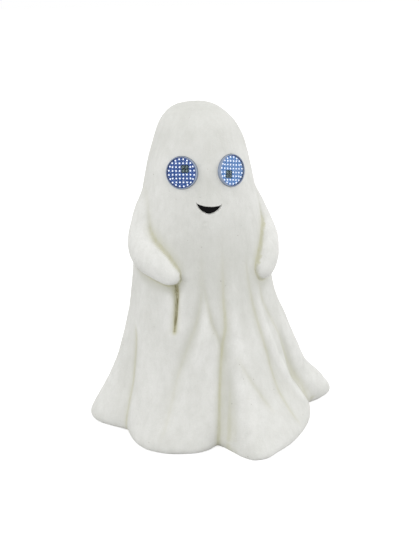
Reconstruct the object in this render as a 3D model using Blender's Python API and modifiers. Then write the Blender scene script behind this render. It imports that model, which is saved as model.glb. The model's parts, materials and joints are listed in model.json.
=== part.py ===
"""Ghost figure: a hollow cast statue with two dot-matrix eyes and a battery case in its back.

Metres, +Z up. The figure faces -Y, and left and right are the viewer's. The origin is the middle of the
plan of the whole figure, on the floor. Each eye and the battery case is built in a frame of its own,
whose Y axis points out of the cast shell.
"""

from math import asin, atan2, cos, pi, radians, sin

import bmesh
import bpy
import numpy as np
from mathutils import Matrix, Vector

# Shell
FIGURE_HEIGHT = 0.480
DRAPE_RADIUS = 0.150
FOLD_DEPTH = 0.012
FOLD_WIDTH = 0.014
FINEST_FOLD = 0.0035
ARM_REACH = 0.092
ARM_RADIUS = 0.0215
ARM_FILLET = 0.008
SHOULDER_FILLET = 0.021
HEM_CURL = 0.012
HEM_TURN = 0.0096
RIM_TAPER = 0.048
WALL = 0.008

# Fits shared by the whole figure, and the distance within which points are welded
GAP = 0.0003
RUNNING_GAP = 0.0005
OVERRUN = 0.004
WELD = 0.00001

# Mouth
MOUTH_WIDTH = 0.040
MOUTH_DROP = 0.0172
MOUTH_SAG = 0.0058
MOUTH_DEPTH = 0.0042
MOUTH_INLAY = 0.0012
MOUTH_TIP = 0.0030
MOUTH_HEIGHT_SHARE = 0.7365
MOUTH_ANGLE = 0.6
MOUTH_LEAN = -6.4

# Eyes
EYE_DIAMETER = 0.045
EYE_PROUD = 0.0008
EYE_RIM = 0.0012
EYE_FLOOR = 0.0016
EYE_SEAT = 0.0010
SOCKET_DEPTH = 0.014
SOCKET_LEDGE = 0.0050
EYE_SEAL = 0.0010
BOARD_THICKNESS = 0.0016
LED_PITCH = 0.0052
LED_DIAMETER = 0.0024
LED_HEIGHT = 0.0005
LED_MASK = 0.0004
LENS_THICKNESS = 0.0012
LENS_SKIRT = 0.0006
LENS_AIR = 0.0004
DRIVER_SIZE = 0.0070
DRIVER_HEIGHT = 0.0012
EYE_ANGLE = 30.0
EYE_HEIGHT_SHARE = 0.819

# Cables
CABLE_DIAMETER = 0.0030
CABLE_HOLE_AIR = 0.0004
CLIP_LENGTH = 0.010
CLIP_WIDTH = 0.022
CLIP_THICKNESS = 0.0070

# Battery case
CELL_DIAMETER = 0.0142
CELL_LENGTH = 0.0490
CELL_BUTTON_DIAMETER = 0.0052
CELL_BUTTON_LENGTH = 0.0012
CELL_COUNT = 3
CELL_SPACING = 0.0008
SPRING_LENGTH = 0.0050
SPRING_WIRE = 0.0008
SPRING_DIAMETER = 0.0070
SPRING_TURNS = 3
PLATE_THICKNESS = 0.0005
PLATE_WIDTH = 0.0100
LEAD_DIAMETER = 0.0012
CASE_WALL = 0.0018
BAY_FLOOR_AIR = 0.0006
FLANGE_MARGIN = 0.0090
FLANGE_THICKNESS = 0.0025
GASKET_THICKNESS = 0.0010
GASKET_WIDTH = 0.0070
POCKET_AIR = 0.0010
POCKET_DEPTH = 0.0100
SEAT_BLOCK = 0.0100
PANEL_HEIGHT_SHARE = 0.219
PANEL_ANGLE = 180.0
CASE_SCREW_INSET = 0.0040
CASE_SCREW_DIAMETER = 0.0030
CASE_SCREW_HEAD = 0.0050
CASE_SCREW_HEAD_HEIGHT = 0.0016
CASE_SCREW_LENGTH = 0.0090

# Battery door
DOOR_THICKNESS = 0.0020
DOOR_LAP = 0.0030
DOOR_FOOT = 0.0080
SEAL_THICKNESS = 0.0012
SEAL_WIDTH = 0.0018
KNUCKLE_DIAMETER = 0.0060
KNUCKLE_WEB = 0.0036
PIN_DIAMETER = 0.0020
DOOR_KNUCKLE_LENGTH = 0.0240
CASE_KNUCKLE_LENGTH = 0.0100
DOOR_SCREW_DROP = 0.0048
DOOR_SCREW_DIAMETER = 0.0025
DOOR_SCREW_HEAD = 0.0060
DOOR_SCREW_HEAD_HEIGHT = 0.0014
SCREW_SLOT = 0.0008

# Control chamber
CHAMBER_HEIGHT = 0.0240
COVER_THICKNESS = 0.0018
COVER_PLUG = 0.0012
BOARD_END = 0.0038
BOARD_SIDE = 0.0025
POST_DIAMETER = 0.0036
SWITCH_WIDTH = 0.0120
SWITCH_HEIGHT = 0.0060
SWITCH_DEPTH = 0.0050
SLIDER_WIDTH = 0.0040
SLIDER_HEIGHT = 0.0035
SLIDER_PROUD = 0.0022
SLIDER_BASE_WIDTH = 0.0080
SLIDER_BASE_THICKNESS = 0.0010
SWITCH_TRAVEL = 0.0040
CHIP_SIZE = 0.0070
CHIP_HEIGHT = 0.0012
CAPACITOR_DIAMETER = 0.0050
CAPACITOR_HEIGHT = 0.0045
CHIP_OFFSET = 0.0140
GROMMET_OFFSET = 0.0090
GROMMET_LIP = 0.0012
GROMMET_WALL = 0.0014

# Steps round the shell and its hollow, rows up them, and sides of what is round
FRONT_STEP = 3
BACK_STEP = 5
CORE_STEP = 7.5
SKIRT_ROWS = 12
ARM_ROWS = 18
HEAD_ROWS = 5
DOME_ROWS = 5
CORE_ROWS = 12
EYE_SIDES = 28
CELL_SIDES = 16
SCREW_SIDES = 12
LED_SIDES = 8
CABLE_POINTS = 36
MOUTH_STEPS = 12
SPRING_STEPS = 8

# Rows of points: those of the curl as shares of HEM_CURL, where the skirt, arms and head begin and the dome
# begins as shares of the figure's height, and the hollow's last three as shares of its own height
CURL_SHARES = (0, .15, .45, 1)
BAND_SHARES = (.05, .44, .74, .89)
CORE_TOP_SHARES = (.86, .92, .965)

# Shape of a screw's head and of a contact's spring
HEAD_TOP_SHARE = 0.8
HEAD_EDGE_SHARE = 0.4
SPRING_TIP_SHARE = 0.6

RIDGE = 1
VALLEY = -1

# The plain drape: height as a share of the figure's, then its reach to the left, right, front and back as
# shares of DRAPE_RADIUS
DRAPE_SHARES = (
    (0, 1.01, 1.167, 1.013, 1),
    (.03, .994, 1.163, .98, .967),
    (.07, .948, 1.11, .927, .913),
    (.14, .859, .97, .84, .827),
    (.215, .79, .913, .763, .753),
    (.3, .738, .856, .7, .687),
    (.38, .696, .779, .65, .64),
    (.46, .667, .725, .617, .607),
    (.54, .647, .682, .59, .587),
    (.62, .608, .638, .567, .567),
    (.7, .57, .581, .54, .533),
    (.76, .534, .536, .507, .5),
    (.83, .491, .491, .468, .458),
    (.89, .438, .434, .418, .411),
    (.94, .385, .35, .35, .344),
    (.97, .313, .25, .27, .27),
    (.99, .21, .141, .17, .17),
    (1, 0, 0, 0, 0),
)

# The hem's lobes: angle from the front, then reach as a share of DRAPE_RADIUS
HEM_SHARES = (
    (-118, .93), (-105, 1.08), (-93, 1.145), (-85, 1.11), (-78, 1.03), (-71, .965), (-64, .945), (-57, .97),
    (-47, 1.03), (-38, 1.065), (-30, 1.063), (-21, 1.035), (-12, 1.005), (-5, .968), (1, .94), (5, .965),
    (8, 1.05), (11, 1.175), (15, 1.27), (20, 1.29), (28, 1.25), (36, 1.228), (45, 1.203), (54, 1.185),
    (66, 1.17), (74, 1.15), (80, 1.12), (84, 1.17), (89, 1.33),
    (96, 1.475), (104, 1.385), (113, 1.1), (122, .99), (134, 1.05), (146, 1.12), (157, 1.05), (166, 1),
    (180, 1.01), (194, 1), (204, 1.05), (216, 1.13), (229, 1.07),
)
LOBE_TOP_SHARE = 0.42
LOBE_FALL = 1.5

# How far the lobes lean round the figure as they rise: angle at the hem, then the turn up to LEAN_TOP_SHARE.
# The shell's columns of points lean with them, and stand upright again from UPRIGHT_SHARE
LOBE_LEAN = (
    (-118, 6), (-93, 3), (-62, -9), (-26, 4), (1, 11), (20, 8), (45, -3), (66, -14), (80, -22), (96, -6),
    (122, -8), (180, 0),
)
LEAN_TOP_SHARE = 0.33
UPRIGHT_SHARE = 0.50

# Each fold's line: height share, angle, then depth and half width as shares of FOLD_DEPTH and FOLD_WIDTH
FOLD_SHARES = (
    (RIDGE, ((.05, 95, 0, 2), (.083, 95, .25, 2), (.117, 94, .33, 1.93), (.167, 92, .36, 1.86),
             (.3, 90, .3, 1.71), (.38, 89, .15, 1.57), (.46, 88, 0, 1.57))),
    (RIDGE, ((.22, -18, 0, .86), (.3, -9, .28, .79), (.36, -6, .33, .64), (.42, -5.5, .2, .5),
             (.5, -6, 0, .43))),
    (RIDGE, ((.02, 72, 0, .86), (.08, 66, .28, .71), (.2, 57, .33, .64), (.3, 50, .25, .57),
             (.4, 47, .15, .5), (.48, 45, 0, .5))),
    (RIDGE, ((.16, 14, 0, 1), (.26, 17, .25, .86), (.36, 19, .25, .79), (.46, 20, .18, .71),
             (.56, 20, 0, .64))),
    (VALLEY, ((0, -65, .75, 1), (.03, -65, .5, .9), (.07, -65, .3, .8), (.14, -66, .2, .6),
              (.2, -67.5, .2, .5), (.286, -69.5, .16, .45), (.345, -72, 0, .4))),
    (VALLEY, ((0, 1.5, .9, .8), (.03, 1.5, .55, .7), (.06, 2, .3, .55), (.115, 3, .2, .45),
              (.25, 6.5, .24, .5), (.305, 9, .2, .6), (.375, 12, .13, .8), (.46, 11.5, .11, .9),
              (.6, 12.5, .08, .9), (.68, 13, 0, .9))),
    (VALLEY, ((.03, -32, 0, 1.28), (.1, -30, .15, 1.28), (.21, -27, .3, 1.14), (.316, -19, .36, 1),
              (.4, -11, .32, .79), (.48, -8, .22, .71), (.56, -8, .14, .71), (.64, -9, 0, .71))),
    (VALLEY, ((.24, 9, 0, .28), (.284, 8.8, .18, .3), (.38, .5, .22, .33), (.44, -3.4, .17, .36),
              (.51, -7, 0, .36))),
    (VALLEY, ((.09, 35, 0, .36), (.15, 29.5, .15, .36), (.2, 24.7, .17, .36), (.28, 17, 0, .36))),
    (VALLEY, ((.02, 50, 0, .9), (.087, 47, .15, .9), (.16, 46, .24, .85), (.23, 46, .26, .8),
              (.29, 44.5, .22, .75), (.354, 42.5, .18, .7), (.44, 40, .16, .65), (.52, 37.5, .12, .6),
              (.58, 37, 0, .6))),
    (VALLEY, ((0, 80, .1, .86), (.076, 78, .14, .85), (.127, 76, .17, .85), (.19, 72, .18, .85),
              (.264, 67, .17, .8), (.34, 60, .15, .7), (.42, 53, .15, .65), (.49, 51, 0, .65))),
    (VALLEY, ((0, 121, .17, .86), (.1, 119, .5, .79), (.25, 113, .33, .64), (.4, 108, 0, .57))),
    (VALLEY, ((0, 165, .08, .86), (.1, 160, .33, .79), (.22, 156, 0, .57))),
    (VALLEY, ((0, -166, .08, .86), (.1, -160, .33, .79), (.24, -155, 0, .57))),
    (VALLEY, ((0, -118, .17, .93), (.1, -117, .5, .86), (.25, -112, .42, .64), (.4, -108, 0, .57))),
    (VALLEY, ((.33, -30.5, 0, .4), (.4, -31, .12, .4), (.45, -31.5, .15, .4), (.5, -33.5, .15, .4),
              (.54, -34, 0, .4))),
    (VALLEY, ((.335, -31.3, 0, .1), (.37, -31, .3, .11), (.43, -30.8, .5, .13), (.455, -31.5, .75, .17),
              (.475, -33, 1, .24), (.5, -34.5, 1, .3), (.52, -34.5, 0, .3))),
)

# Each arm from shoulder to hand: angle, height as a share of the figure's, then the reach of its middle and
# its radius as shares of ARM_REACH and ARM_RADIUS
ARM_SHARES = (
    ((-86, .719, .66, .68), (-83.5, .679, .79, .95), (-78, .62, .89, 1.17), (-69, .579, .945, 1.27),
     (-59.5, .559, .97, 1.2), (-49, .543, .985, 1.02), (-37, .519, 1.01, .7)),
    ((90, .719, .66, .65), (90, .679, .81, .86), (87, .629, .935, .98), (75, .585, 1.022, 1.05),
     (68, .553, 1.055, 1.02), (62.5, .53, 1.075, .93), (58, .511, 1.07, .82)),
)
ARM_BEADS = 60

# How far above each elbow its fillet grows to a shoulder's, as shares of ARM_RADIUS
SHOULDER_RUN_SHARES = (2, .6)

# Clips on the cables: height as a share of the figure's
CLIP_HEIGHT_SHARES = (.68, .50)

# The diodes of an eye: a grid without its corners, inside a ring whose radius is a share of their pitch, and how
# far each board is turned in its housing
LED_GRID = 6
LED_RING = 20
LED_RING_SHARE = 3.6
LED_TURNS = {"left": 5, "right": -11}


# Form of the shell

def smooth_curve(points, at):
    """The monotone cubic through (place, value) points, read at each place given."""
    x, y = np.array(points, float).T
    run = np.diff(x)
    slope = np.diff(y) / run
    tangent = np.zeros(len(x))
    tangent[0], tangent[-1] = slope[0], slope[-1]
    for i in range(1, len(x) - 1):
        if slope[i - 1] * slope[i] > 0:
            before = 2 * run[i] + run[i - 1]
            after = run[i] + 2 * run[i - 1]
            tangent[i] = (before + after) / (before / slope[i - 1] + after / slope[i])
    at = np.clip(at, x[0], x[-1])
    i = np.clip(np.searchsorted(x, at) - 1, 0, len(x) - 2)
    t = (at - x[i]) / run[i]
    start = (1 + 2 * t) * (1 - t) ** 2 * y[i] + t * (1 - t) ** 2 * run[i] * tangent[i]
    end = t ** 2 * (3 - 2 * t) * y[i + 1] - t ** 2 * (1 - t) * run[i] * tangent[i + 1]
    return start + end


def signed(angle):
    return (angle + 180) % 360 - 180


def round_curve(points, at):
    """smooth_curve round the figure, with the angles of the points in degrees."""
    places = sorted((signed(angle), value) for angle, value in points)
    before = [(angle - 360, value) for angle, value in places[-3:]]
    after = [(angle + 360, value) for angle, value in places[:3]]
    return smooth_curve(before + places + after, signed(at))


def drape_reach(angle, height):
    """Reach of the plain drape: a quarter of an ellipse between each two of its four sides."""
    share = height / FIGURE_HEIGHT
    left, right, front, back = (
        DRAPE_RADIUS * smooth_curve([(row[0], row[side]) for row in DRAPE_SHARES], share)
        for side in range(1, 5))
    across, along = np.sin(np.radians(angle)), np.cos(np.radians(angle))
    side = np.maximum(np.where(across > 0, right, left), GAP)
    face = np.maximum(np.where(along > 0, front, back), GAP)
    return 1 / np.sqrt((across / side) ** 2 + (along / face) ** 2)


def draped_reach(angle, height):
    """Reach of the drape with its lobes and folds, and without the arms."""
    share = height / FIGURE_HEIGHT
    lean = round_curve(LOBE_LEAN, angle) * np.clip(share / LEAN_TOP_SHARE, 0, 1)
    hem = DRAPE_RADIUS * round_curve(HEM_SHARES, angle - lean) / drape_reach(angle - lean, 0 * height)
    plain = drape_reach(angle, height)
    reach = plain * (1 + (hem - 1) * np.clip(1 - share / LOBE_TOP_SHARE, 0, 1) ** LOBE_FALL)
    for kind, line in FOLD_SHARES:
        middle = smooth_curve([(row[0], row[1]) for row in line], share)
        depth = FOLD_DEPTH * smooth_curve([(row[0], row[2]) for row in line], share)
        depth = np.where((share >= line[0][0]) & (share <= line[-1][0]), depth, 0)
        half = np.maximum(FOLD_WIDTH * smooth_curve([(row[0], row[3]) for row in line], share), FINEST_FOLD)
        offset = np.radians(signed(angle - middle)) * plain / half
        if kind == RIDGE:
            reach = reach + depth * np.exp(-offset ** 2)
        else:
            reach = reach - depth * np.exp(.5 - np.sqrt(offset ** 2 + .25))
    return reach


def arm_reach(angle, height, line):
    """Reach of an arm, as beads with a crowned outer face, strung along its middle line."""
    stops = range(len(line))
    along = np.linspace(0, len(line) - 1, ARM_BEADS)
    turns, rises, reaches, radii = (
        smooth_curve([(stop, line[stop][column]) for stop in stops], along) for column in range(4))
    reach = np.full(np.shape(angle + height), -ARM_REACH)
    for turn, rise, middle, radius in zip(turns, rises * FIGURE_HEIGHT, reaches * ARM_REACH,
                                          radii * ARM_RADIUS):
        aside = np.radians(signed(angle - turn))
        left = radius ** 2 - (height - rise) ** 2 - (middle * np.sin(aside)) ** 2
        bead = middle * np.cos(aside) + left / radius
        reach = np.where((left > 0) & (np.cos(aside) > 0), np.maximum(reach, bead), reach)
    return reach


def filleted(one, other, fillet):
    """The larger of two reaches, with a fillet where they cross."""
    mix = np.clip(.5 + .5 * (one - other) / fillet, 0, 1)
    return other + (one - other) * mix + fillet * mix * (1 - mix)


def hem_curl(height):
    """How far the hem turns in above the floor."""
    low = np.clip(1 - height / HEM_CURL, 0, 1)
    return HEM_TURN * (1 - np.sqrt(1 - low ** 2))


def shell_reach(angle, height):
    """Reach of the whole shell."""
    angle, height = np.asarray(angle, float), np.asarray(height, float)
    reach = draped_reach(angle, height)
    for line, run in zip(ARM_SHARES, SHOULDER_RUN_SHARES):
        shoulder = np.clip((height - FIGURE_HEIGHT * line[3][1]) / (run * ARM_RADIUS), 0, 1)
        fillet = ARM_FILLET + (SHOULDER_FILLET - ARM_FILLET) * shoulder
        reach = filleted(arm_reach(angle, height, line), reach, fillet)
    return reach - hem_curl(height)


def core_reach(angle, height, wall=WALL):
    """Reach of the hollow, which stays a wall behind the deepest fold near it."""
    angle, height = np.asarray(angle, float), np.maximum(height, 0)
    raised = height * FIGURE_HEIGHT / (FIGURE_HEIGHT - wall)
    nearest = np.min([draped_reach(angle + aside, raised) for aside in (-CORE_STEP, 0, CORE_STEP)], axis=0)
    rim = HEM_TURN * np.clip(1 - height / RIM_TAPER, 0, 1)
    return np.maximum(nearest - wall - rim, GAP)


def shell_angles(height):
    """Columns of points round the shell, which lean with the lobes and stand upright again at the arms."""
    columns = np.concatenate([np.arange(-90, 90, FRONT_STEP), np.arange(90, 270, BACK_STEP)])
    lean = np.interp(height / FIGURE_HEIGHT, (0, LEAN_TOP_SHARE, UPRIGHT_SHARE), (0, 1, 0))
    return columns + lean * round_curve(LOBE_LEAN, columns)


def shell_heights():
    skirt, arms, head, dome = BAND_SHARES
    rows = np.concatenate([
        np.linspace(skirt, arms, SKIRT_ROWS), np.linspace(arms, head, ARM_ROWS)[1:],
        np.linspace(head, dome, HEAD_ROWS)[1:],
        dome + (1 - dome) * np.sin(np.linspace(0, pi / 2, DOME_ROWS + 2)[1:-1])])
    return np.concatenate([HEM_CURL * np.array(CURL_SHARES), FIGURE_HEIGHT * rows])


def core_angles(height):
    return np.arange(-180, 180, CORE_STEP)


def core_heights():
    side = np.linspace(0, CORE_TOP_SHARES[0], CORE_ROWS)
    return np.concatenate([[-OVERRUN], (FIGURE_HEIGHT - WALL) * np.append(side, CORE_TOP_SHARES[1:])])


def head_axis():
    """Where the head's axis stands, from the middle of the figure's plan."""
    heights = shell_heights()
    angles = np.array([shell_angles(height) for height in heights])
    reach = shell_reach(angles, heights[:, None])
    across, along = reach * np.sin(np.radians(angles)), -reach * np.cos(np.radians(angles))
    return Vector((-(across.max() + across.min()) / 2, -(along.max() + along.min()) / 2, 0))


AXIS = head_axis()


def on_shell(angle, height):
    reach = float(shell_reach(angle, height))
    return AXIS + Vector((reach * sin(radians(angle)), -reach * cos(radians(angle)), height))


def frame_on_shell(angle, height, span):
    """A frame on the shell: Y out of it, Z up it, and X to the left of someone who faces it."""
    below, above = on_shell(angle, height - span), on_shell(angle, height + span)
    slope = atan2((below - above).xy.length, 2 * span)
    turn = Matrix.Rotation(radians(angle + 180), 4, "Z")
    return Matrix.Translation(on_shell(angle, height)) @ turn @ Matrix.Rotation(slope, 4, "X")


# Blender helpers

def clear_scene():
    for thing in list(bpy.data.objects):
        bpy.data.objects.remove(thing, do_unlink=True)


def new_collection(name):
    collection = bpy.data.collections.new(name)
    bpy.context.scene.collection.children.link(collection)
    return collection


def new_material(name, colour, roughness, metallic=0.0, alpha=1.0):
    material = bpy.data.materials.new(name)
    material.use_nodes = True
    shader = material.node_tree.nodes["Principled BSDF"]
    shader.inputs["Base Color"].default_value = (*colour, 1.0)
    shader.inputs["Roughness"].default_value = roughness
    shader.inputs["Metallic"].default_value = metallic
    shader.inputs["Alpha"].default_value = alpha
    return material


def new_frame(name, matrix):
    empty = bpy.data.objects.new(name, None)
    PARTS.objects.link(empty)
    empty.matrix_world = matrix
    return empty


def add_object(name, data, material=None, parent=None):
    """A part of the figure, or a cutter where it has no material."""
    thing = bpy.data.objects.new(name, data)
    if material:
        PARTS.objects.link(thing)
        data.materials.append(material)
    else:
        CUTTERS.objects.link(thing)
        thing.hide_render = True
        thing.display_type = "WIRE"
    thing.parent = parent
    return thing


def mesh_from(name, build):
    """A mesh made by a function that fills a bmesh."""
    work = bmesh.new()
    build(work)
    mesh = bpy.data.meshes.new(name)
    work.to_mesh(mesh)
    work.free()
    return mesh


def smooth(thing, degrees=35):
    thing.data.shade_smooth()
    thing.data.set_sharp_from_angle(angle=radians(degrees))


def block_into(work, low, high):
    low, high = Vector(low), Vector(high)
    place = Matrix.Translation((low + high) / 2) @ Matrix.Diagonal((*(high - low), 1))
    bmesh.ops.create_cube(work, size=1, matrix=place)


def rod_into(work, start, end, radius, sides):
    start, end = Vector(start), Vector(end)
    turn = (end - start).to_track_quat("Z", "Y").to_matrix().to_4x4()
    place = Matrix.Translation((start + end) / 2) @ turn
    bmesh.ops.create_cone(work, cap_ends=True, segments=sides, radius1=radius, radius2=radius,
                          depth=(end - start).length, matrix=place)


def blocks(name, corners, material=None, parent=None):
    """One object of separate blocks, from their (low, high) corners."""
    def build(work):
        for low, high in corners:
            block_into(work, low, high)
    return add_object(name, mesh_from(name, build), material, parent)


def rods(name, runs, material=None, parent=None, sides=SCREW_SIDES):
    """One object of separate rods, from their (start, end, radius)."""
    def build(work):
        for start, end, radius in runs:
            rod_into(work, start, end, radius, sides)
    thing = add_object(name, mesh_from(name, build), material, parent)
    smooth(thing)
    return thing


def boolean(thing, tool, operation="DIFFERENCE"):
    """Cut the thing with a tool, or join them, by a modifier."""
    modifier = thing.modifiers.new(operation.title() + " " + tool.name, "BOOLEAN")
    modifier.operation = operation
    modifier.object = tool
    modifier.solver = "EXACT"


def join(thing, *tools):
    """Union each tool, which becomes a cutter object, into the thing."""
    for tool in tools:
        boolean(thing, tool, "UNION")


def turned(name, profile, material=None, parent=None, steps=EYE_SIDES):
    """A (radius, height) profile turned about the parent's Y axis. One with an end off the axis is closed."""
    area = sum(a[0] * b[1] - b[0] * a[1] for a, b in zip(profile, profile[1:] + profile[:1]))
    points = profile if area < 0 else profile[::-1]
    closed = profile[0][0] > 0

    def build(work):
        verts = [work.verts.new((radius, 0, height)) for radius, height in points]
        for first, second in zip(verts, verts[1:] + (verts[:1] if closed else [])):
            work.edges.new((first, second))
    thing = add_object(name, mesh_from(name, build), material, parent)
    screw = thing.modifiers.new("Turn", "SCREW")
    screw.steps = steps
    screw.render_steps = steps
    screw.use_merge_vertices = True
    screw.merge_threshold = WELD
    thing.rotation_euler = (-pi / 2, 0, 0)
    return thing


def loft(name, reach, angles, heights, material=None, apex=None):
    """A closed skin through level rings, with a flat foot and an apex or a flat top."""
    def build(work):
        rings = []
        for height in heights:
            columns = angles(height)
            rings.append([work.verts.new(AXIS + Vector((r * sin(radians(a)), -r * cos(radians(a)), height)))
                          for a, r in zip(columns, reach(columns, np.full(len(columns), height)))])
        for low, high in zip(rings, rings[1:]):
            for i in range(len(low)):
                after = (i + 1) % len(low)
                work.faces.new((low[i], low[after], high[after], high[i]))
        work.faces.new(rings[0][::-1])
        if apex is None:
            work.faces.new(rings[-1])
            return
        top = work.verts.new(AXIS + Vector((0, 0, apex)))
        for one, after in zip(rings[-1], rings[-1][1:] + rings[-1][:1]):
            work.faces.new((one, after, top))
    thing = add_object(name, mesh_from(name, build), material)
    smooth(thing)
    return thing


def wire(name, points, diameter, resolution, material=None, parent=None):
    """A round wire along a list of points."""
    curve = bpy.data.curves.new(name, "CURVE")
    curve.dimensions = "3D"
    curve.bevel_depth = diameter / 2
    curve.bevel_resolution = resolution
    curve.use_fill_caps = True
    spline = curve.splines.new("POLY")
    spline.points.add(len(points) - 1)
    for point, place in zip(spline.points, points):
        point.co = (*place, 1)
    return add_object(name, curve, material, parent)


def eased(route, count):
    """Points at even steps along a smooth curve through a route."""
    lengths = np.cumsum([0] + [(b - a).length for a, b in zip(route, route[1:])])
    at = np.linspace(0, lengths[-1], count)
    columns = [smooth_curve(list(zip(lengths, [p[axis] for p in route])), at) for axis in range(3)]
    return list(zip(*columns))


def as_mesh(thing, name, material=None):
    """The mesh of a curve object, with its caps welded on, in the curve's place."""
    depsgraph = bpy.context.evaluated_depsgraph_get()
    mesh = bpy.data.meshes.new_from_object(thing.evaluated_get(depsgraph))
    work = bmesh.new()
    work.from_mesh(mesh)
    bmesh.ops.remove_doubles(work, verts=work.verts, dist=WELD)
    work.to_mesh(mesh)
    work.free()
    mesh.materials.clear()
    solid = add_object(name, mesh, material)
    solid.matrix_world = thing.matrix_world.copy()
    bpy.data.objects.remove(thing, do_unlink=True)
    return solid


# Places inside an eye, along its axis from the shell

EYE_RADIUS = EYE_DIAMETER / 2
LEDGE = -SOCKET_DEPTH
EYE_SEAL_FRONT = LEDGE + GAP + EYE_SEAL
HOUSING_BACK = EYE_SEAL_FRONT + GAP
LENS_FRONT = EYE_PROUD - GAP
LENS_BACK = LENS_FRONT - LENS_THICKNESS
LED_FRONT = LENS_BACK - LENS_AIR
LED_MASK_FRONT = LED_FRONT - LED_HEIGHT
BOARD_FRONT = LED_MASK_FRONT - LED_MASK - GAP
BOARD_BACK = BOARD_FRONT - BOARD_THICKNESS
EYE_BORE = EYE_RADIUS - EYE_RIM
EYE_BOSS_DEPTH = SOCKET_DEPTH + WALL
CABLE_HOLE = CABLE_DIAMETER / 2 + CABLE_HOLE_AIR

# Places in the battery case: X across, Y out from the pocket's floor, Z up the back

GASKET_FRONT = GAP + GASKET_THICKNESS
FLANGE_BACK = GASKET_FRONT + GAP
FLANGE_FRONT = FLANGE_BACK + FLANGE_THICKNESS
SEAL_BACK = FLANGE_FRONT + GAP
DOOR_BACK = SEAL_BACK + SEAL_THICKNESS + GAP
DOOR_FRONT = DOOR_BACK + DOOR_THICKNESS
CELL_RADIUS = CELL_DIAMETER / 2
CELL_Y = FLANGE_FRONT - GAP - CELL_RADIUS
BAY_FLOOR = CELL_Y - CELL_RADIUS - BAY_FLOOR_AIR
CASE_BACK = BAY_FLOOR - CASE_WALL
CELL_RUN = CELL_LENGTH + CELL_BUTTON_LENGTH + SPRING_LENGTH + 3 * GAP
BAY_X = CELL_RUN / 2 + PLATE_THICKNESS + GAP
CASE_X = BAY_X + CASE_WALL
FLANGE_X = CASE_X + FLANGE_MARGIN
CELL_PITCH = CELL_DIAMETER + CELL_SPACING
BAY_HEIGHT = CELL_COUNT * CELL_PITCH + CELL_SPACING
CASE_Z = (BAY_HEIGHT + CHAMBER_HEIGHT + 3 * CASE_WALL) / 2
FLANGE_Z = CASE_Z + FLANGE_MARGIN
BAY_LOW = CASE_WALL - CASE_Z
BAY_HIGH = BAY_LOW + BAY_HEIGHT
CHAMBER_LOW = BAY_HIGH + CASE_WALL
CHAMBER_HIGH = CHAMBER_LOW + CHAMBER_HEIGHT
CHAMBER_Z = (CHAMBER_LOW + CHAMBER_HIGH) / 2
POCKET_X = FLANGE_X + POCKET_AIR
POCKET_Z = FLANGE_Z + POCKET_AIR
POCKET_REACH = POCKET_DEPTH + FOLD_DEPTH + WALL
DOOR_X = BAY_X + DOOR_LAP
DOOR_HIGH = BAY_HIGH + DOOR_LAP
DOOR_LOW = BAY_LOW - DOOR_FOOT
KNUCKLE_RADIUS = KNUCKLE_DIAMETER / 2
HINGE_Y = FLANGE_FRONT + GAP + KNUCKLE_RADIUS
HINGE_Z = DOOR_HIGH + RUNNING_GAP + KNUCKLE_RADIUS
DOOR_SCREW_Z = BAY_LOW - DOOR_SCREW_DROP
CASE_SCREWS = [(x * (FLANGE_X - CASE_SCREW_INSET), z * (FLANGE_Z - CASE_SCREW_INSET))
               for x in (-1, 1) for z in (-1, 1)]
SLIDER_BASE_FRONT = FLANGE_BACK - GAP
SWITCH_FRONT = SLIDER_BASE_FRONT - SLIDER_BASE_THICKNESS - GAP
CONTROL_FRONT = SWITCH_FRONT - SWITCH_DEPTH - GAP
CONTROL_BACK = CONTROL_FRONT - BOARD_THICKNESS
COVER_FRONT = CASE_BACK + COVER_PLUG
COVER_BACK = CASE_BACK - GAP - COVER_THICKNESS
BOARD_X = BAY_X - BOARD_END
BOARD_Z = CHAMBER_HEIGHT / 2 - BOARD_SIDE
POSTS = [(x * (BOARD_X - POST_DIAMETER), CHAMBER_Z + z * (BOARD_Z - POST_DIAMETER / 2))
         for x in (-1, 1) for z in (-1, 1)]
GROMMET_RADIUS = CABLE_HOLE + GROMMET_WALL
LEAD_Y = BAY_FLOOR + GAP + LEAD_DIAMETER / 2
LEAD_X = BAY_X - GAP - LEAD_DIAMETER / 2
SLIDER_X = -SWITCH_TRAVEL / 2


def cell_x(side, end):
    """Where along X a cell whose button points to a side has its tip or foot."""
    tip = BAY_X - GAP - PLATE_THICKNESS - GAP
    return side * (tip if end == "tip" else tip - CELL_BUTTON_LENGTH - CELL_LENGTH)


def cells():
    """Each cell's side of the button and height, top first."""
    return [(1 if i % 2 == 0 else -1, BAY_HIGH - CELL_SPACING - CELL_PITCH * (i + .5) + CELL_SPACING / 2)
            for i in range(CELL_COUNT)]


# Sub-parts

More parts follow.
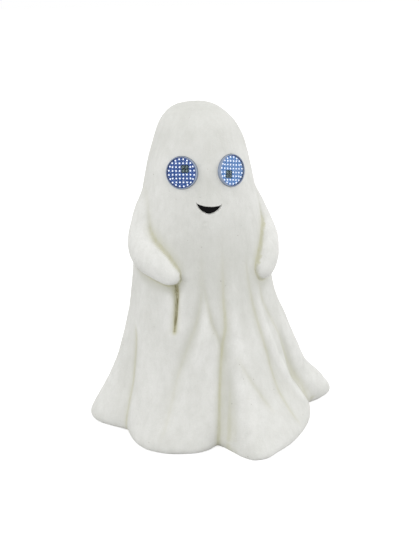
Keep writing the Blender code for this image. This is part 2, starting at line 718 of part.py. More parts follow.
def make_shell(eyes, panel):
    """The cast shell: drape, lobes, folds and arms in one, hollow and open underneath."""
    shell = loft("body_shell", shell_reach, shell_angles, shell_heights(), CEMENT, FIGURE_HEIGHT)
    core = loft("core", core_reach, core_angles, core_heights())
    seat = blocks("seat block", [((-POCKET_X - WALL, -SEAT_BLOCK, -POCKET_Z - WALL),
                                  (POCKET_X + WALL, POCKET_DEPTH + WALL, POCKET_Z + WALL))], None, panel)
    boolean(core, seat)
    for eye in eyes:
        boss = ((0, -EYE_BOSS_DEPTH, 0), (0, WALL, 0), EYE_RADIUS + WALL)
        boolean(core, rods("eye boss", [boss], None, eye, EYE_SIDES))
    boolean(shell, core)
    for eye in eyes:
        socket = turned("socket", [
            (0, WALL), (EYE_RADIUS + RUNNING_GAP, WALL), (EYE_RADIUS + RUNNING_GAP, LEDGE),
            (EYE_RADIUS - SOCKET_LEDGE, LEDGE), (EYE_RADIUS - SOCKET_LEDGE, -EYE_BOSS_DEPTH - OVERRUN),
            (0, -EYE_BOSS_DEPTH - OVERRUN)], None, eye)
        boolean(shell, socket)
    window_x, window_z = CASE_X + RUNNING_GAP, CASE_Z + RUNNING_GAP
    pocket = blocks("pocket", [((-POCKET_X, 0, -POCKET_Z), (POCKET_X, POCKET_REACH, POCKET_Z))], None, panel)
    window = blocks("case window", [((-window_x, -SEAT_BLOCK - OVERRUN, -window_z),
                                     (window_x, OVERRUN, window_z))], None, panel)
    pilots = rods("screw pilots", [((x, FLANGE_FRONT - CASE_SCREW_LENGTH - GAP, z), (x, OVERRUN, z),
                                    CASE_SCREW_DIAMETER / 2 + GAP) for x, z in CASE_SCREWS], None, panel)
    recess = mouth_form("mouth recess", 0, 0, -MOUTH_DEPTH, OVERRUN)
    for cutter in (pocket, window, pilots, recess):
        boolean(shell, cutter)


def mouth_outline(inset, tip):
    """A crescent between two half ellipses, drawn in by an inset and ended where it is as deep as its tip."""
    half = MOUTH_WIDTH / 2
    start = asin(tip / (MOUTH_DROP - MOUTH_SAG))
    outline = []
    for drop, way in ((MOUTH_DROP, -1), (MOUTH_SAG, 1)):
        for step in range(MOUTH_STEPS + 1):
            turn = start + (pi - 2 * start) * step / MOUTH_STEPS
            if tip or way < 0 or 0 < step < MOUTH_STEPS:
                normal = Vector((way * cos(turn) / half, -sin(turn) / drop)).normalized() * inset * way
                outline.append(Vector((way * half * cos(turn), -drop * sin(turn))) + normal)
    return outline


def mouth_form(name, inset, tip, low, high, material=None):
    """The crescent of the mouth, between two depths along its own axis from the shell."""
    outline = mouth_outline(inset, tip)
    curve = bpy.data.curves.new(name, "CURVE")
    curve.dimensions = "2D"
    curve.fill_mode = "BOTH"
    curve.extrude = (high - low) / 2
    spline = curve.splines.new("POLY")
    spline.points.add(len(outline) - 1)
    for point, (x, y) in zip(spline.points, outline):
        point.co = (x, y, 0, 1)
    spline.use_cyclic_u = True
    flat = add_object(name + " outline", curve)
    place = frame_on_shell(MOUTH_ANGLE, FIGURE_HEIGHT * MOUTH_HEIGHT_SHARE, MOUTH_DROP)
    place = place @ Matrix.Translation((0, (high + low) / 2, 0))
    flat.matrix_world = place @ Matrix.Rotation(radians(MOUTH_LEAN), 4, "Y") @ Matrix.Rotation(pi / 2, 4, "X")
    bpy.context.view_layer.update()
    return as_mesh(flat, name, material)


def led_places():
    """Where the diodes of an eye stand, across it and up it."""
    half = (LED_GRID - 1) / 2
    steps = [step - half for step in range(LED_GRID)]
    places = [(x * LED_PITCH, z * LED_PITCH) for x in steps for z in steps if abs(x * z) < half ** 2]
    for step in range(LED_RING):
        turn = 2 * pi * (step + .5) / LED_RING
        places.append((LED_RING_SHARE * LED_PITCH * cos(turn), LED_RING_SHARE * LED_PITCH * sin(turn)))
    return places


def make_eye(side, eye):
    """One dot-matrix eye, from its seal on the socket's ledge to its lens."""
    seat = EYE_BORE - EYE_SEAT
    turned(side + "_eye_seal", [
        (EYE_RADIUS - SOCKET_LEDGE, EYE_SEAL_FRONT), (EYE_RADIUS, EYE_SEAL_FRONT),
        (EYE_RADIUS, LEDGE + GAP), (EYE_RADIUS - SOCKET_LEDGE, LEDGE + GAP)], RUBBER, eye)
    back = BOARD_BACK - GAP
    turned(side + "_eye_housing", [
        (EYE_BORE, EYE_PROUD), (EYE_RADIUS, EYE_PROUD), (EYE_RADIUS, HOUSING_BACK),
        (CABLE_HOLE, HOUSING_BACK), (CABLE_HOLE, HOUSING_BACK + EYE_FLOOR), (seat, HOUSING_BACK + EYE_FLOOR),
        (seat, back), (EYE_BORE, back)], GREY_PLASTIC, eye)
    lens, skirt = EYE_BORE - GAP, EYE_BORE - GAP - LENS_SKIRT
    turned(side + "_eye_lens", [
        (0, LENS_FRONT), (lens, LENS_FRONT), (lens, BOARD_FRONT + GAP), (skirt, BOARD_FRONT + GAP),
        (skirt, LENS_BACK), (0, LENS_BACK)], CLEAR, eye)
    rods(side + "_led_board", [((0, BOARD_BACK, 0), (0, BOARD_FRONT, 0), lens)], BLUE_BOARD, eye, EYE_SIDES)
    blocks(side + "_driver_chip", [((-DRIVER_SIZE / 2, back - DRIVER_HEIGHT, CABLE_HOLE),
                                    (DRIVER_SIZE / 2, back, CABLE_HOLE + DRIVER_SIZE))], BLACK_CHIP, eye)
    array = rods(side + "_led_array", [((0, BOARD_FRONT + GAP, 0), (0, LED_MASK_FRONT, 0), skirt - GAP)],
                 LED_WHITE, eye, EYE_SIDES)
    turn = radians(LED_TURNS[side])
    diodes = []
    for x, z in led_places():
        across, up = x * cos(turn) + z * sin(turn), z * cos(turn) - x * sin(turn)
        foot = (across, LED_MASK_FRONT - LED_MASK / 2, up)
        diodes.append((foot, (across, LED_FRONT, up), LED_DIAMETER / 2))
    join(array, rods(side + " diodes", diodes, None, eye, LED_SIDES))


def make_case(panel):
    """The battery case: flange, bay for the cells, chamber for the switch and board, and hinge knuckles."""
    overlap = FLANGE_THICKNESS / 2
    case = blocks("battery_case", [((-CASE_X, CASE_BACK, -CASE_Z), (CASE_X, FLANGE_BACK + overlap, CASE_Z))],
                  BLACK_PLASTIC, panel)
    knuckle_in = DOOR_KNUCKLE_LENGTH / 2 + GAP
    knuckle_out = knuckle_in + CASE_KNUCKLE_LENGTH
    flange = blocks("flange", [((-FLANGE_X, FLANGE_BACK, -FLANGE_Z), (FLANGE_X, FLANGE_FRONT, FLANGE_Z))],
                    None, panel)
    webs, barrels = [], []
    for side in (-1, 1):
        ends = sorted((side * knuckle_in, side * knuckle_out))
        webs.append(((ends[0], FLANGE_FRONT - overlap, HINGE_Z - KNUCKLE_WEB / 2),
                     (ends[1], HINGE_Y, HINGE_Z + KNUCKLE_WEB / 2)))
        barrels.append(((ends[0], HINGE_Y, HINGE_Z), (ends[1], HINGE_Y, HINGE_Z), KNUCKLE_RADIUS))
    knuckles = rods("knuckles", barrels, None, panel, CELL_SIDES)
    join(case, flange, blocks("knuckle webs", webs, None, panel), knuckles)
    slot_half = SLIDER_WIDTH / 2 + SWITCH_TRAVEL / 2 + RUNNING_GAP
    slot_z = SLIDER_HEIGHT / 2 + RUNNING_GAP
    rooms = blocks("case rooms", [
        ((-BAY_X, BAY_FLOOR, BAY_LOW), (BAY_X, FLANGE_FRONT + OVERRUN / 4, BAY_HIGH)),
        ((-BAY_X, CASE_BACK - OVERRUN, CHAMBER_LOW), (BAY_X, FLANGE_BACK, CHAMBER_HIGH))], None, panel)
    slot = blocks("switch slot", [((-slot_half, FLANGE_BACK - OVERRUN, CHAMBER_Z - slot_z),
                                   (slot_half, FLANGE_FRONT + OVERRUN, CHAMBER_Z + slot_z))], None, panel)
    boolean(case, rooms)
    boolean(case, slot)
    join(case, rods("board posts", [((x, CONTROL_FRONT + GAP, z), (x, FLANGE_BACK + overlap, z),
                                     POST_DIAMETER / 2) for x, z in POSTS], None, panel))
    reach = CASE_X + OVERRUN
    screws = [(x, z, CASE_SCREW_DIAMETER / 2 + GAP) for x, z in CASE_SCREWS]
    screws.append((0, DOOR_SCREW_Z, DOOR_SCREW_DIAMETER / 2 + GAP + RUNNING_GAP))
    holes = [((x, FLANGE_BACK - OVERRUN, z), (x, FLANGE_FRONT + OVERRUN, z), radius)
             for x, z, radius in screws]
    holes += [((x, LEAD_Y, BAY_HIGH - CASE_WALL), (x, LEAD_Y, CHAMBER_LOW + CASE_WALL),
               (LEAD_DIAMETER + GAP) / 2) for x in (-LEAD_X, LEAD_X)]
    holes.append(((-reach, HINGE_Y, HINGE_Z), (reach, HINGE_Y, HINGE_Z), PIN_DIAMETER / 2 + GAP))
    boolean(case, rods("case holes", holes, None, panel))

    gasket_x, gasket_z = FLANGE_X - POCKET_AIR, FLANGE_Z - POCKET_AIR
    gasket = blocks("case_gasket", [((-gasket_x, GAP, -gasket_z), (gasket_x, GASKET_FRONT, gasket_z))],
                    RUBBER, panel)
    inner_x, inner_z = gasket_x - GASKET_WIDTH, gasket_z - GASKET_WIDTH
    boolean(gasket, blocks("gasket window", [((-inner_x, -OVERRUN, -inner_z), (inner_x, OVERRUN, inner_z))],
                           None, panel))
    boolean(gasket, rods("gasket holes", [((x, -OVERRUN, z), (x, OVERRUN, z), CASE_SCREW_DIAMETER / 2 + GAP)
                                          for x, z in CASE_SCREWS], None, panel))
    under = FLANGE_FRONT + GAP
    for number, place in enumerate(CASE_SCREWS, 1):
        make_screw(f"case_screw_{number}", place,
                   (under + CASE_SCREW_HEAD_HEIGHT, under, under - CASE_SCREW_LENGTH),
                   CASE_SCREW_HEAD / 2, CASE_SCREW_DIAMETER / 2, panel)


def make_screw(name, place, levels, head_radius, shank_radius, parent):
    """A slotted pan-headed screw along Y, from the levels of its top, the head's underside and its tip."""
    top, under, tip = levels
    x, z = place
    edge = top - (top - under) * HEAD_EDGE_SHARE
    screw = turned(name, [
        (0, top), (head_radius * HEAD_TOP_SHARE, top), (head_radius, edge), (head_radius, under),
        (shank_radius, under), (shank_radius, tip), (0, tip)], STEEL, parent, SCREW_SIDES)
    screw.location = (x, 0, z)
    slot = blocks(name + " slot", [((x - head_radius, top - SCREW_SLOT, z - SCREW_SLOT / 2),
                                    (x + head_radius, top + OVERRUN, z + SCREW_SLOT / 2))], None, parent)
    boolean(screw, slot)


def make_door(panel):
    """The battery door with its seal and captive screw, hung from its top edge on a pin."""
    hinge = new_frame("door_hinge", panel.matrix_world @ Matrix.Translation((0, HINGE_Y, HINGE_Z)))

    def from_hinge(x, y, z):
        return (x, y - HINGE_Y, z - HINGE_Z)
    door = blocks("battery_door", [(from_hinge(-DOOR_X, DOOR_BACK, DOOR_LOW),
                                    from_hinge(DOOR_X, DOOR_FRONT, DOOR_HIGH))], BLACK_PLASTIC, hinge)
    half = DOOR_KNUCKLE_LENGTH / 2
    web = blocks("door web", [(from_hinge(-half, DOOR_BACK, DOOR_HIGH - DOOR_LAP),
                               from_hinge(half, DOOR_FRONT, HINGE_Z))], None, hinge)
    join(door, web, rods("door knuckle", [((-half, 0, 0), (half, 0, 0), KNUCKLE_RADIUS)], None, hinge,
                         CELL_SIDES))
    boolean(door, rods("door holes", [
        ((-half - OVERRUN, 0, 0), (half + OVERRUN, 0, 0), PIN_DIAMETER / 2 + GAP),
        (from_hinge(0, DOOR_BACK - OVERRUN, DOOR_SCREW_Z), from_hinge(0, DOOR_FRONT + OVERRUN, DOOR_SCREW_Z),
         DOOR_SCREW_DIAMETER / 2 + GAP)], None, hinge))
    seal_x, seal_low, seal_high = BAY_X + GAP, BAY_LOW - GAP, BAY_HIGH + GAP
    seal = blocks("door_seal", [(from_hinge(-seal_x - SEAL_WIDTH, SEAL_BACK, seal_low - SEAL_WIDTH),
                                 from_hinge(seal_x + SEAL_WIDTH, DOOR_BACK - GAP, seal_high + SEAL_WIDTH))],
                  RUBBER, hinge)
    window = blocks("seal window", [(from_hinge(-seal_x, SEAL_BACK - OVERRUN, seal_low),
                                     from_hinge(seal_x, DOOR_BACK + OVERRUN, seal_high))], None, hinge)
    boolean(seal, window)
    under = DOOR_FRONT + GAP - HINGE_Y
    make_screw("door_screw", (0, DOOR_SCREW_Z - HINGE_Z),
               (under + DOOR_SCREW_HEAD_HEIGHT, under, FLANGE_BACK + GAP - HINGE_Y),
               DOOR_SCREW_HEAD / 2, DOOR_SCREW_DIAMETER / 2, hinge)
    pin_end = half + GAP + CASE_KNUCKLE_LENGTH
    rods("hinge_pin", [((-pin_end, HINGE_Y, HINGE_Z), (pin_end, HINGE_Y, HINGE_Z), PIN_DIAMETER / 2)],
         STEEL, panel)


def make_cells(panel):
    """The cells, top first, their contacts, and the two leads to the control board."""
    plate_y = (CELL_Y - PLATE_WIDTH / 2, CELL_Y + PLATE_WIDTH / 2)
    rows = cells()
    for number, (side, z) in enumerate(rows, 1):
        tip, foot = cell_x(side, "tip"), cell_x(side, "foot")
        cell = turned(f"cell_{number}", [
            (0, abs(tip - foot)), (CELL_BUTTON_DIAMETER / 2, abs(tip - foot)),
            (CELL_BUTTON_DIAMETER / 2, CELL_LENGTH), (CELL_RADIUS, CELL_LENGTH), (CELL_RADIUS, 0), (0, 0)],
            CELL_WRAP, panel, CELL_SIDES)
        cell.location = (foot, CELL_Y, z)
        cell.rotation_euler = (0, side * pi / 2, 0)

    # Contacts run down each end wall: one for the first cell on the left, then one for each next two cells
    for side, word in ((-1, "left"), (1, "right")):
        first = 0 if rows[0][0] == side else 1
        groups = [rows[:first]] + [rows[i:i + 2] for i in range(first, len(rows), 2)]
        for number, group in enumerate([group for group in groups if group], 1):
            name = f"{word}_contact_{number}"
            x = sorted((side * (BAY_X - GAP), side * (BAY_X - GAP - PLATE_THICKNESS)))
            plate = blocks(name, [((x[0], plate_y[0], group[-1][1] - PLATE_WIDTH / 2),
                                   (x[1], plate_y[1], group[0][1] + PLATE_WIDTH / 2))], NICKEL, panel)
            for button, z in group:
                if button != side:
                    coil = wire(name + " coil", spring_route(button, z), SPRING_WIRE, 1, None, panel)
                    bpy.context.view_layer.update()
                    join(plate, as_mesh(coil, name + " spring"))

    bend = CHAMBER_LOW + CASE_WALL
    for side, word, low in ((-1, "left", rows[0][1]), (1, "right", rows[-1][1])):
        x = side * LEAD_X
        inner = side * (BOARD_X - LEAD_DIAMETER)
        route = [(x, LEAD_Y, low), (x, LEAD_Y, BAY_HIGH), (x, LEAD_Y, bend),
                 ((x + inner) / 2, LEAD_Y + LEAD_DIAMETER / 3, bend + LEAD_DIAMETER),
                 (inner, LEAD_Y + 1.2 * LEAD_DIAMETER, bend + 2 * LEAD_DIAMETER),
                 (inner, CONTROL_BACK - GAP, bend + 2.4 * LEAD_DIAMETER)]
        wire(word + "_battery_lead", route, LEAD_DIAMETER, 1, BLACK_WIRE, panel)


def spring_route(button, z):
    """The coil that presses on the foot of a cell, from there into its plate."""
    steps = SPRING_STEPS * SPRING_TURNS
    start = cell_x(button, "foot") - button * (GAP + SPRING_WIRE / 2)
    end = -button * (BAY_X - GAP - PLATE_THICKNESS)
    route = []
    for step in range(steps + 1):
        along = step / steps
        turn = 2 * pi * SPRING_TURNS * along
        radius = (SPRING_DIAMETER - SPRING_WIRE) / 2 * (SPRING_TIP_SHARE + (1 - SPRING_TIP_SHARE) * along)
        route.append((start + (end - start) * along, CELL_Y + radius * cos(turn), z + radius * sin(turn)))
    return route


def make_control(panel):
    """The control board behind the flange, its switch, and the cover and grommets that close the chamber."""
    mounted = CONTROL_FRONT + GAP
    blocks("control_board", [((-BOARD_X, CONTROL_BACK, CHAMBER_Z - BOARD_Z),
                              (BOARD_X, CONTROL_FRONT, CHAMBER_Z + BOARD_Z))], GREEN_BOARD, panel)
    switch_x, switch_z = (SWITCH_WIDTH + SWITCH_TRAVEL) / 2, SWITCH_HEIGHT / 2
    blocks("switch_body", [((-switch_x, mounted, CHAMBER_Z - switch_z),
                            (switch_x, SWITCH_FRONT, CHAMBER_Z + switch_z))], BLACK_CHIP, panel)
    rail = new_frame("switch_rail", panel.matrix_world @ Matrix.Translation((SLIDER_X, 0, CHAMBER_Z)))
    slider = blocks("switch_slider", [
        ((-SLIDER_BASE_WIDTH / 2, SLIDER_BASE_FRONT - SLIDER_BASE_THICKNESS, -SLIDER_HEIGHT / 2),
         (SLIDER_BASE_WIDTH / 2, SLIDER_BASE_FRONT, SLIDER_HEIGHT / 2))], BLACK_PLASTIC, rail)
    join(slider, blocks("slider knob", [
        ((-SLIDER_WIDTH / 2, SLIDER_BASE_FRONT - SLIDER_BASE_THICKNESS / 2, -SLIDER_HEIGHT / 2),
         (SLIDER_WIDTH / 2, FLANGE_FRONT + SLIDER_PROUD, SLIDER_HEIGHT / 2))], None, rail))
    chip = CHIP_SIZE / 2
    blocks("control_chip", [((CHIP_OFFSET - chip, mounted, CHAMBER_Z - chip),
                             (CHIP_OFFSET + chip, mounted + CHIP_HEIGHT, CHAMBER_Z + chip))],
           BLACK_CHIP, panel)
    rods("capacitor", [((-CHIP_OFFSET, mounted, CHAMBER_Z),
                        (-CHIP_OFFSET, mounted + CAPACITOR_HEIGHT, CHAMBER_Z), CAPACITOR_DIAMETER / 2)],
         ALUMINIUM, panel, CELL_SIDES)

    cover = blocks("chamber_cover", [((-CASE_X, COVER_BACK, CHAMBER_LOW - CASE_WALL),
                                      (CASE_X, CASE_BACK - GAP, CHAMBER_HIGH + CASE_WALL))],
                   BLACK_PLASTIC, panel)
    plug_x = BAY_X - 2 * LEAD_DIAMETER
    plug = blocks("cover plug", [((-plug_x, CASE_BACK - COVER_THICKNESS, CHAMBER_LOW + GAP),
                                  (plug_x, COVER_FRONT, CHAMBER_HIGH - GAP))], None, panel)
    posts = rods("cover posts", [((x, CASE_BACK, z), (x, CONTROL_BACK - GAP, z), POST_DIAMETER / 2)
                                 for x, z in POSTS], None, panel)
    join(cover, plug, posts)
    places = (("left", -GROMMET_OFFSET), ("right", GROMMET_OFFSET))
    holes = [((x, COVER_BACK - OVERRUN, CHAMBER_Z), (x, COVER_FRONT + OVERRUN / 4, CHAMBER_Z),
              GROMMET_RADIUS + GAP) for word, x in places]
    boolean(cover, rods("grommet holes", holes, None, panel, CELL_SIDES))
    lip = GROMMET_RADIUS + GROMMET_LIP
    top, low = COVER_FRONT + GAP, COVER_BACK - GAP
    for word, x in places:
        grommet = turned(word + "_grommet", [
            (CABLE_HOLE, top + GROMMET_LIP), (lip, top + GROMMET_LIP), (lip, top), (GROMMET_RADIUS, top),
            (GROMMET_RADIUS, low), (lip, low), (lip, low - GROMMET_LIP), (CABLE_HOLE, low - GROMMET_LIP)],
            RUBBER, panel, CELL_SIDES)
        grommet.location = (x, 0, CHAMBER_Z)


def make_cables(eyes, panel):
    """The eyes' cables, from their boards down the hollow's back wall to the control board, and the clips."""
    heights = [FIGURE_HEIGHT * share for share in CLIP_HEIGHT_SHARES]
    runs = []
    past = CLIP_LENGTH / 2 + CABLE_DIAMETER
    for side, eye, way in (("left", eyes[0], -1), ("right", eyes[1], 1)):
        route = [eye.matrix_world @ Vector((0, y, 0)) for y in
                 (BOARD_BACK - GAP, HOUSING_BACK, -EYE_BOSS_DEPTH, -EYE_BOSS_DEPTH - WALL)]
        for height in heights:
            for rise in (past, -past):
                y = AXIS.y + float(core_reach(180, height + rise)) - CLIP_THICKNESS / 2 - GAP
                route.append(Vector((AXIS.x + way * CLIP_WIDTH / 4, y, height + rise)))
            runs.append((route[-2], route[-1], CABLE_HOLE))
        route += [panel.matrix_world @ Vector((way * GROMMET_OFFSET, y, CHAMBER_Z)) for y in
                  (COVER_BACK - 4 * CABLE_DIAMETER, COVER_BACK - CABLE_DIAMETER, COVER_FRONT,
                   CONTROL_BACK - GAP)]
        wire(side + "_eye_cable", eased(route, CABLE_POINTS), CABLE_DIAMETER, 2, BLACK_WIRE)
    space = loft("clip space", lambda a, z: core_reach(a, z, WALL + GAP), core_angles, core_heights())
    bores = rods("clip bores", runs)
    for word, height in zip(("upper", "lower"), heights):
        back = AXIS + Vector((0, float(core_reach(180, height)), height))
        low = back + Vector((-CLIP_WIDTH / 2, -CLIP_THICKNESS, -CLIP_LENGTH / 2))
        high = back + Vector((CLIP_WIDTH / 2, OVERRUN, CLIP_LENGTH / 2))
        clip = blocks(word + "_cable_clip", [(low, high)], BLACK_PLASTIC)
        boolean(clip, space, "INTERSECT")
        boolean(clip, bores)


def main():
    panel_place = frame_on_shell(PANEL_ANGLE, FIGURE_HEIGHT * PANEL_HEIGHT_SHARE, CASE_Z)
    panel = new_frame("rear_panel", panel_place @ Matrix.Translation((0, -POCKET_DEPTH, 0)))
    eyes = [new_frame(side + "_eye", frame_on_shell(turn, FIGURE_HEIGHT * EYE_HEIGHT_SHARE, EYE_RADIUS / 2))
            for side, turn in (("left", -EYE_ANGLE), ("right", EYE_ANGLE))]
    bpy.context.view_layer.update()
    make_shell(eyes, panel)
    floor = GAP - MOUTH_DEPTH
    mouth_form("mouth_inlay", GAP, MOUTH_TIP, floor, floor + MOUTH_INLAY, BLACK_PAINT)
    make_eye("left", eyes[0])
    make_eye("right", eyes[1])
    make_case(panel)
    make_door(panel)
    make_cells(panel)
    make_control(panel)
    make_cables(eyes, panel)
    bpy.context.view_layer.update()


clear_scene()
PARTS = new_collection("Ghost figure")
CUTTERS = new_collection("Ghost figure cutters")
CEMENT = new_material("Whitewashed cement", (.74, .74, .70), .9)
BLACK_PAINT = new_material("Black paint", (.006, .006, .006), .7)
GREY_PLASTIC = new_material("Grey plastic", (.45, .48, .53), .45)
CLEAR = new_material("Clear acrylic", (.9, .94, 1), .05, 0, .3)
BLUE_BOARD = new_material("Blue circuit board", (.01, .025, .12), .5)
LED_WHITE = new_material("Lit diode", (.75, .86, 1), .3)
RUBBER = new_material("Black rubber", (.012, .012, .012), .8)
BLACK_PLASTIC = new_material("Black plastic", (.018, .018, .018), .5)
BLACK_CHIP = new_material("Black chip", (.01, .01, .01), .4)
GREEN_BOARD = new_material("Green circuit board", (.01, .09, .03), .5)
BLACK_WIRE = new_material("Black wire", (.01, .01, .01), .6)
STEEL = new_material("Zinc-plated steel", (.5, .5, .5), .35, 1)
NICKEL = new_material("Nickel plate", (.6, .57, .52), .3, 1)
ALUMINIUM = new_material("Aluminium can", (.6, .6, .6), .35, 1)
CELL_WRAP = new_material("Cell wrap", (.02, .02, .022), .35)
main()
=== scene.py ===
"""Ghost figure, dressed: the cast statue, its lit eyes and the battery case in its back.

Metres, +Z up. The figure faces -Y, and left and right are the viewer's. Each eye and the battery case is
made in a frame of its own, whose Y axis points out of the statue.
"""

import json
from math import atan2, cos, pi, radians, sin

import bmesh
import bpy
import numpy as np
from bpy.props import FloatProperty, FloatVectorProperty, IntProperty, PointerProperty
from bpy.types import Operator, Panel, PropertyGroup
from mathutils import Matrix, Vector, noise


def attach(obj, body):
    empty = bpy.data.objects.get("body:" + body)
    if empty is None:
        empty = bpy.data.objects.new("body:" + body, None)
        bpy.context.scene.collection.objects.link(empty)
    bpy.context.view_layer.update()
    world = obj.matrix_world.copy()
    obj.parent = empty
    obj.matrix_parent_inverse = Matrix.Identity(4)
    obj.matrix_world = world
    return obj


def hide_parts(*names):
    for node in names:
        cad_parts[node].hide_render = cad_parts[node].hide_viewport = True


bl_info = {
    "name": "Ghost Figure",
    "version": (1, 0, 0),
    "blender": (4, 5, 0),
    "location": "View3D > Sidebar > Ghost",
    "description": "Dresses a cast ghost statue with lit dot-matrix eyes round its CAD model",
    "category": "Object",
}

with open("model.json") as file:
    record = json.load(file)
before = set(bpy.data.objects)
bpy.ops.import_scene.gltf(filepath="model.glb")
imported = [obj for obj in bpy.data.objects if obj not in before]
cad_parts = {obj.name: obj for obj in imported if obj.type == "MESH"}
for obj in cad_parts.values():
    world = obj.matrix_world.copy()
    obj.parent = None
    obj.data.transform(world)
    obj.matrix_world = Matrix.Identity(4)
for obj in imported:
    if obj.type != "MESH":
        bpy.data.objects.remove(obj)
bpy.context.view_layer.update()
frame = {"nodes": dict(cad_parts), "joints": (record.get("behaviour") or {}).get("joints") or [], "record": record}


# Form of the drape, as shares of its main sizes

FIGURE_HEIGHT = max(vert.co.z for vert in frame["nodes"]["body_shell"].data.vertices)
APEX = max((vert.co for vert in frame["nodes"]["body_shell"].data.vertices), key=lambda place: place.z)
AXIS = Vector((APEX.x, APEX.y, 0))
DRAPE_RADIUS = 0.150
ARM_REACH = 0.092
WALL = 0.008
HEM_CURL = 0.012
HEM_TURN = 0.0096
RIM_TAPER = 0.048
CORE_STEP = 7.5
GAP = 0.0003
RIDGE = 1
VALLEY = -1

# Height as a share of the figure's, then the reach of the plain drape to the left, right, front and back
DRAPE_SHARES = (
    (0, 1.01, 1.167, 1.013, 1),
    (.03, .994, 1.163, .98, .967),
    (.07, .948, 1.11, .927, .913),
    (.14, .859, .97, .84, .827),
    (.215, .79, .913, .763, .753),
    (.3, .738, .856, .7, .687),
    (.38, .696, .779, .65, .64),
    (.46, .667, .725, .617, .607),
    (.54, .647, .682, .59, .587),
    (.62, .608, .638, .567, .567),
    (.7, .57, .581, .54, .533),
    (.76, .534, .536, .507, .5),
    (.83, .491, .491, .468, .458),
    (.89, .438, .434, .418, .411),
    (.94, .385, .35, .35, .344),
    (.97, .313, .25, .27, .27),
    (.99, .21, .141, .17, .17),
    (1, 0, 0, 0, 0),
)

# The hem's lobes: angle from the front, then reach
HEM_SHARES = (
    (-118, .93), (-105, 1.08), (-93, 1.145), (-85, 1.11), (-78, 1.03), (-71, .965), (-64, .945), (-57, .97),
    (-47, 1.03), (-38, 1.065), (-30, 1.063), (-21, 1.035), (-12, 1.005), (-5, .968), (1, .94), (5, .965),
    (8, 1.05), (11, 1.175), (15, 1.27), (20, 1.29), (28, 1.25), (36, 1.228), (45, 1.203), (54, 1.185),
    (66, 1.17), (74, 1.15), (80, 1.12), (84, 1.17), (89, 1.33),
    (96, 1.475), (104, 1.385), (113, 1.1), (122, .99), (134, 1.05), (146, 1.12), (157, 1.05), (166, 1),
    (180, 1.01), (194, 1), (204, 1.05), (216, 1.13), (229, 1.07),
)
LOBE_TOP_SHARE = 0.42
LOBE_FALL = 1.5
LOBE_LEAN = (
    (-118, 6), (-93, 3), (-62, -9), (-26, 4), (1, 11), (20, 8), (45, -3), (66, -14), (80, -22), (96, -6),
    (122, -8), (180, 0),
)
LEAN_TOP_SHARE = 0.33
UPRIGHT_SHARE = 0.50

# Each fold's line: height share, angle, then depth and half width as shares of the deepest and widest fold
FOLD_WIDTH = 0.014
FINEST_FOLD = 0.0016
FOLD_SHARES = (
    (RIDGE, ((.05, 95, 0, 2), (.083, 95, .25, 2), (.117, 94, .33, 1.93), (.167, 92, .36, 1.86),
             (.3, 90, .3, 1.71), (.38, 89, .15, 1.57), (.46, 88, 0, 1.57))),
    (RIDGE, ((.22, -18, 0, .86), (.3, -9, .28, .79), (.36, -6, .33, .64), (.42, -5.5, .2, .5),
             (.5, -6, 0, .43))),
    (RIDGE, ((.02, 72, 0, .86), (.08, 66, .28, .71), (.2, 57, .33, .64), (.3, 50, .25, .57),
             (.4, 47, .15, .5), (.48, 45, 0, .5))),
    (RIDGE, ((.16, 14, 0, 1), (.26, 17, .25, .86), (.36, 19, .25, .79), (.46, 20, .18, .71),
             (.56, 20, 0, .64))),
    (VALLEY, ((0, -65, .62, 1.1), (.03, -65, .45, .95), (.07, -65, .3, .8), (.14, -66, .2, .6),
              (.2, -67.5, .2, .5), (.286, -69.5, .16, .45), (.345, -72, 0, .4))),
    (VALLEY, ((0, 1.5, .9, .8), (.03, 1.5, .55, .7), (.06, 2, .3, .55), (.115, 3, .2, .45),
              (.25, 6.5, .24, .5), (.305, 9, .2, .6), (.375, 12, .13, .8), (.46, 11.5, .11, .9),
              (.6, 12.5, .08, .9), (.68, 13, 0, .9))),
    (VALLEY, ((.03, -32, 0, 1.28), (.1, -30, .2, 1.28), (.21, -27, .42, 1.1), (.316, -19, .48, .95),
              (.4, -11, .38, .79), (.48, -8, .24, .71), (.56, -8, .14, .71), (.64, -9, 0, .71))),
    (VALLEY, ((.24, 9, 0, .28), (.284, 8.8, .18, .3), (.38, .5, .22, .33), (.44, -3.4, .17, .36),
              (.51, -7, 0, .36))),
    (VALLEY, ((.09, 35, 0, .36), (.15, 29.5, .15, .36), (.2, 24.7, .17, .36), (.28, 17, 0, .36))),
    (VALLEY, ((.02, 50, 0, .9), (.087, 47, .15, .9), (.16, 46, .24, .85), (.23, 46, .26, .8),
              (.29, 44.5, .22, .75), (.354, 42.5, .18, .7), (.44, 40, .16, .65), (.52, 37.5, .12, .6),
              (.58, 37, 0, .6))),
    (VALLEY, ((0, 80, .1, .86), (.076, 78, .14, .85), (.127, 76, .17, .85), (.19, 72, .18, .85),
              (.264, 67, .17, .8), (.34, 60, .15, .7), (.42, 53, .15, .65), (.49, 51, 0, .65))),
    (VALLEY, ((0, 121, .17, .86), (.1, 119, .5, .79), (.25, 113, .33, .64), (.4, 108, 0, .57))),
    (VALLEY, ((0, 165, .08, .86), (.1, 160, .33, .79), (.22, 156, 0, .57))),
    (VALLEY, ((0, -166, .08, .86), (.1, -160, .33, .79), (.24, -155, 0, .57))),
    (VALLEY, ((0, -118, .17, .93), (.1, -117, .5, .86), (.25, -112, .42, .64), (.4, -108, 0, .57))),
    (VALLEY, ((.33, -30.5, 0, .4), (.4, -31, .12, .4), (.45, -31.5, .15, .4), (.5, -33.5, .15, .4),
              (.54, -34, 0, .4))),
    (VALLEY, ((.335, -31.3, 0, .1), (.37, -31, .3, .11), (.43, -30.8, .5, .15), (.455, -31.5, .65, .26),
              (.475, -33, .8, .42), (.5, -34.5, .8, .5), (.52, -34.5, 0, .5))),
)

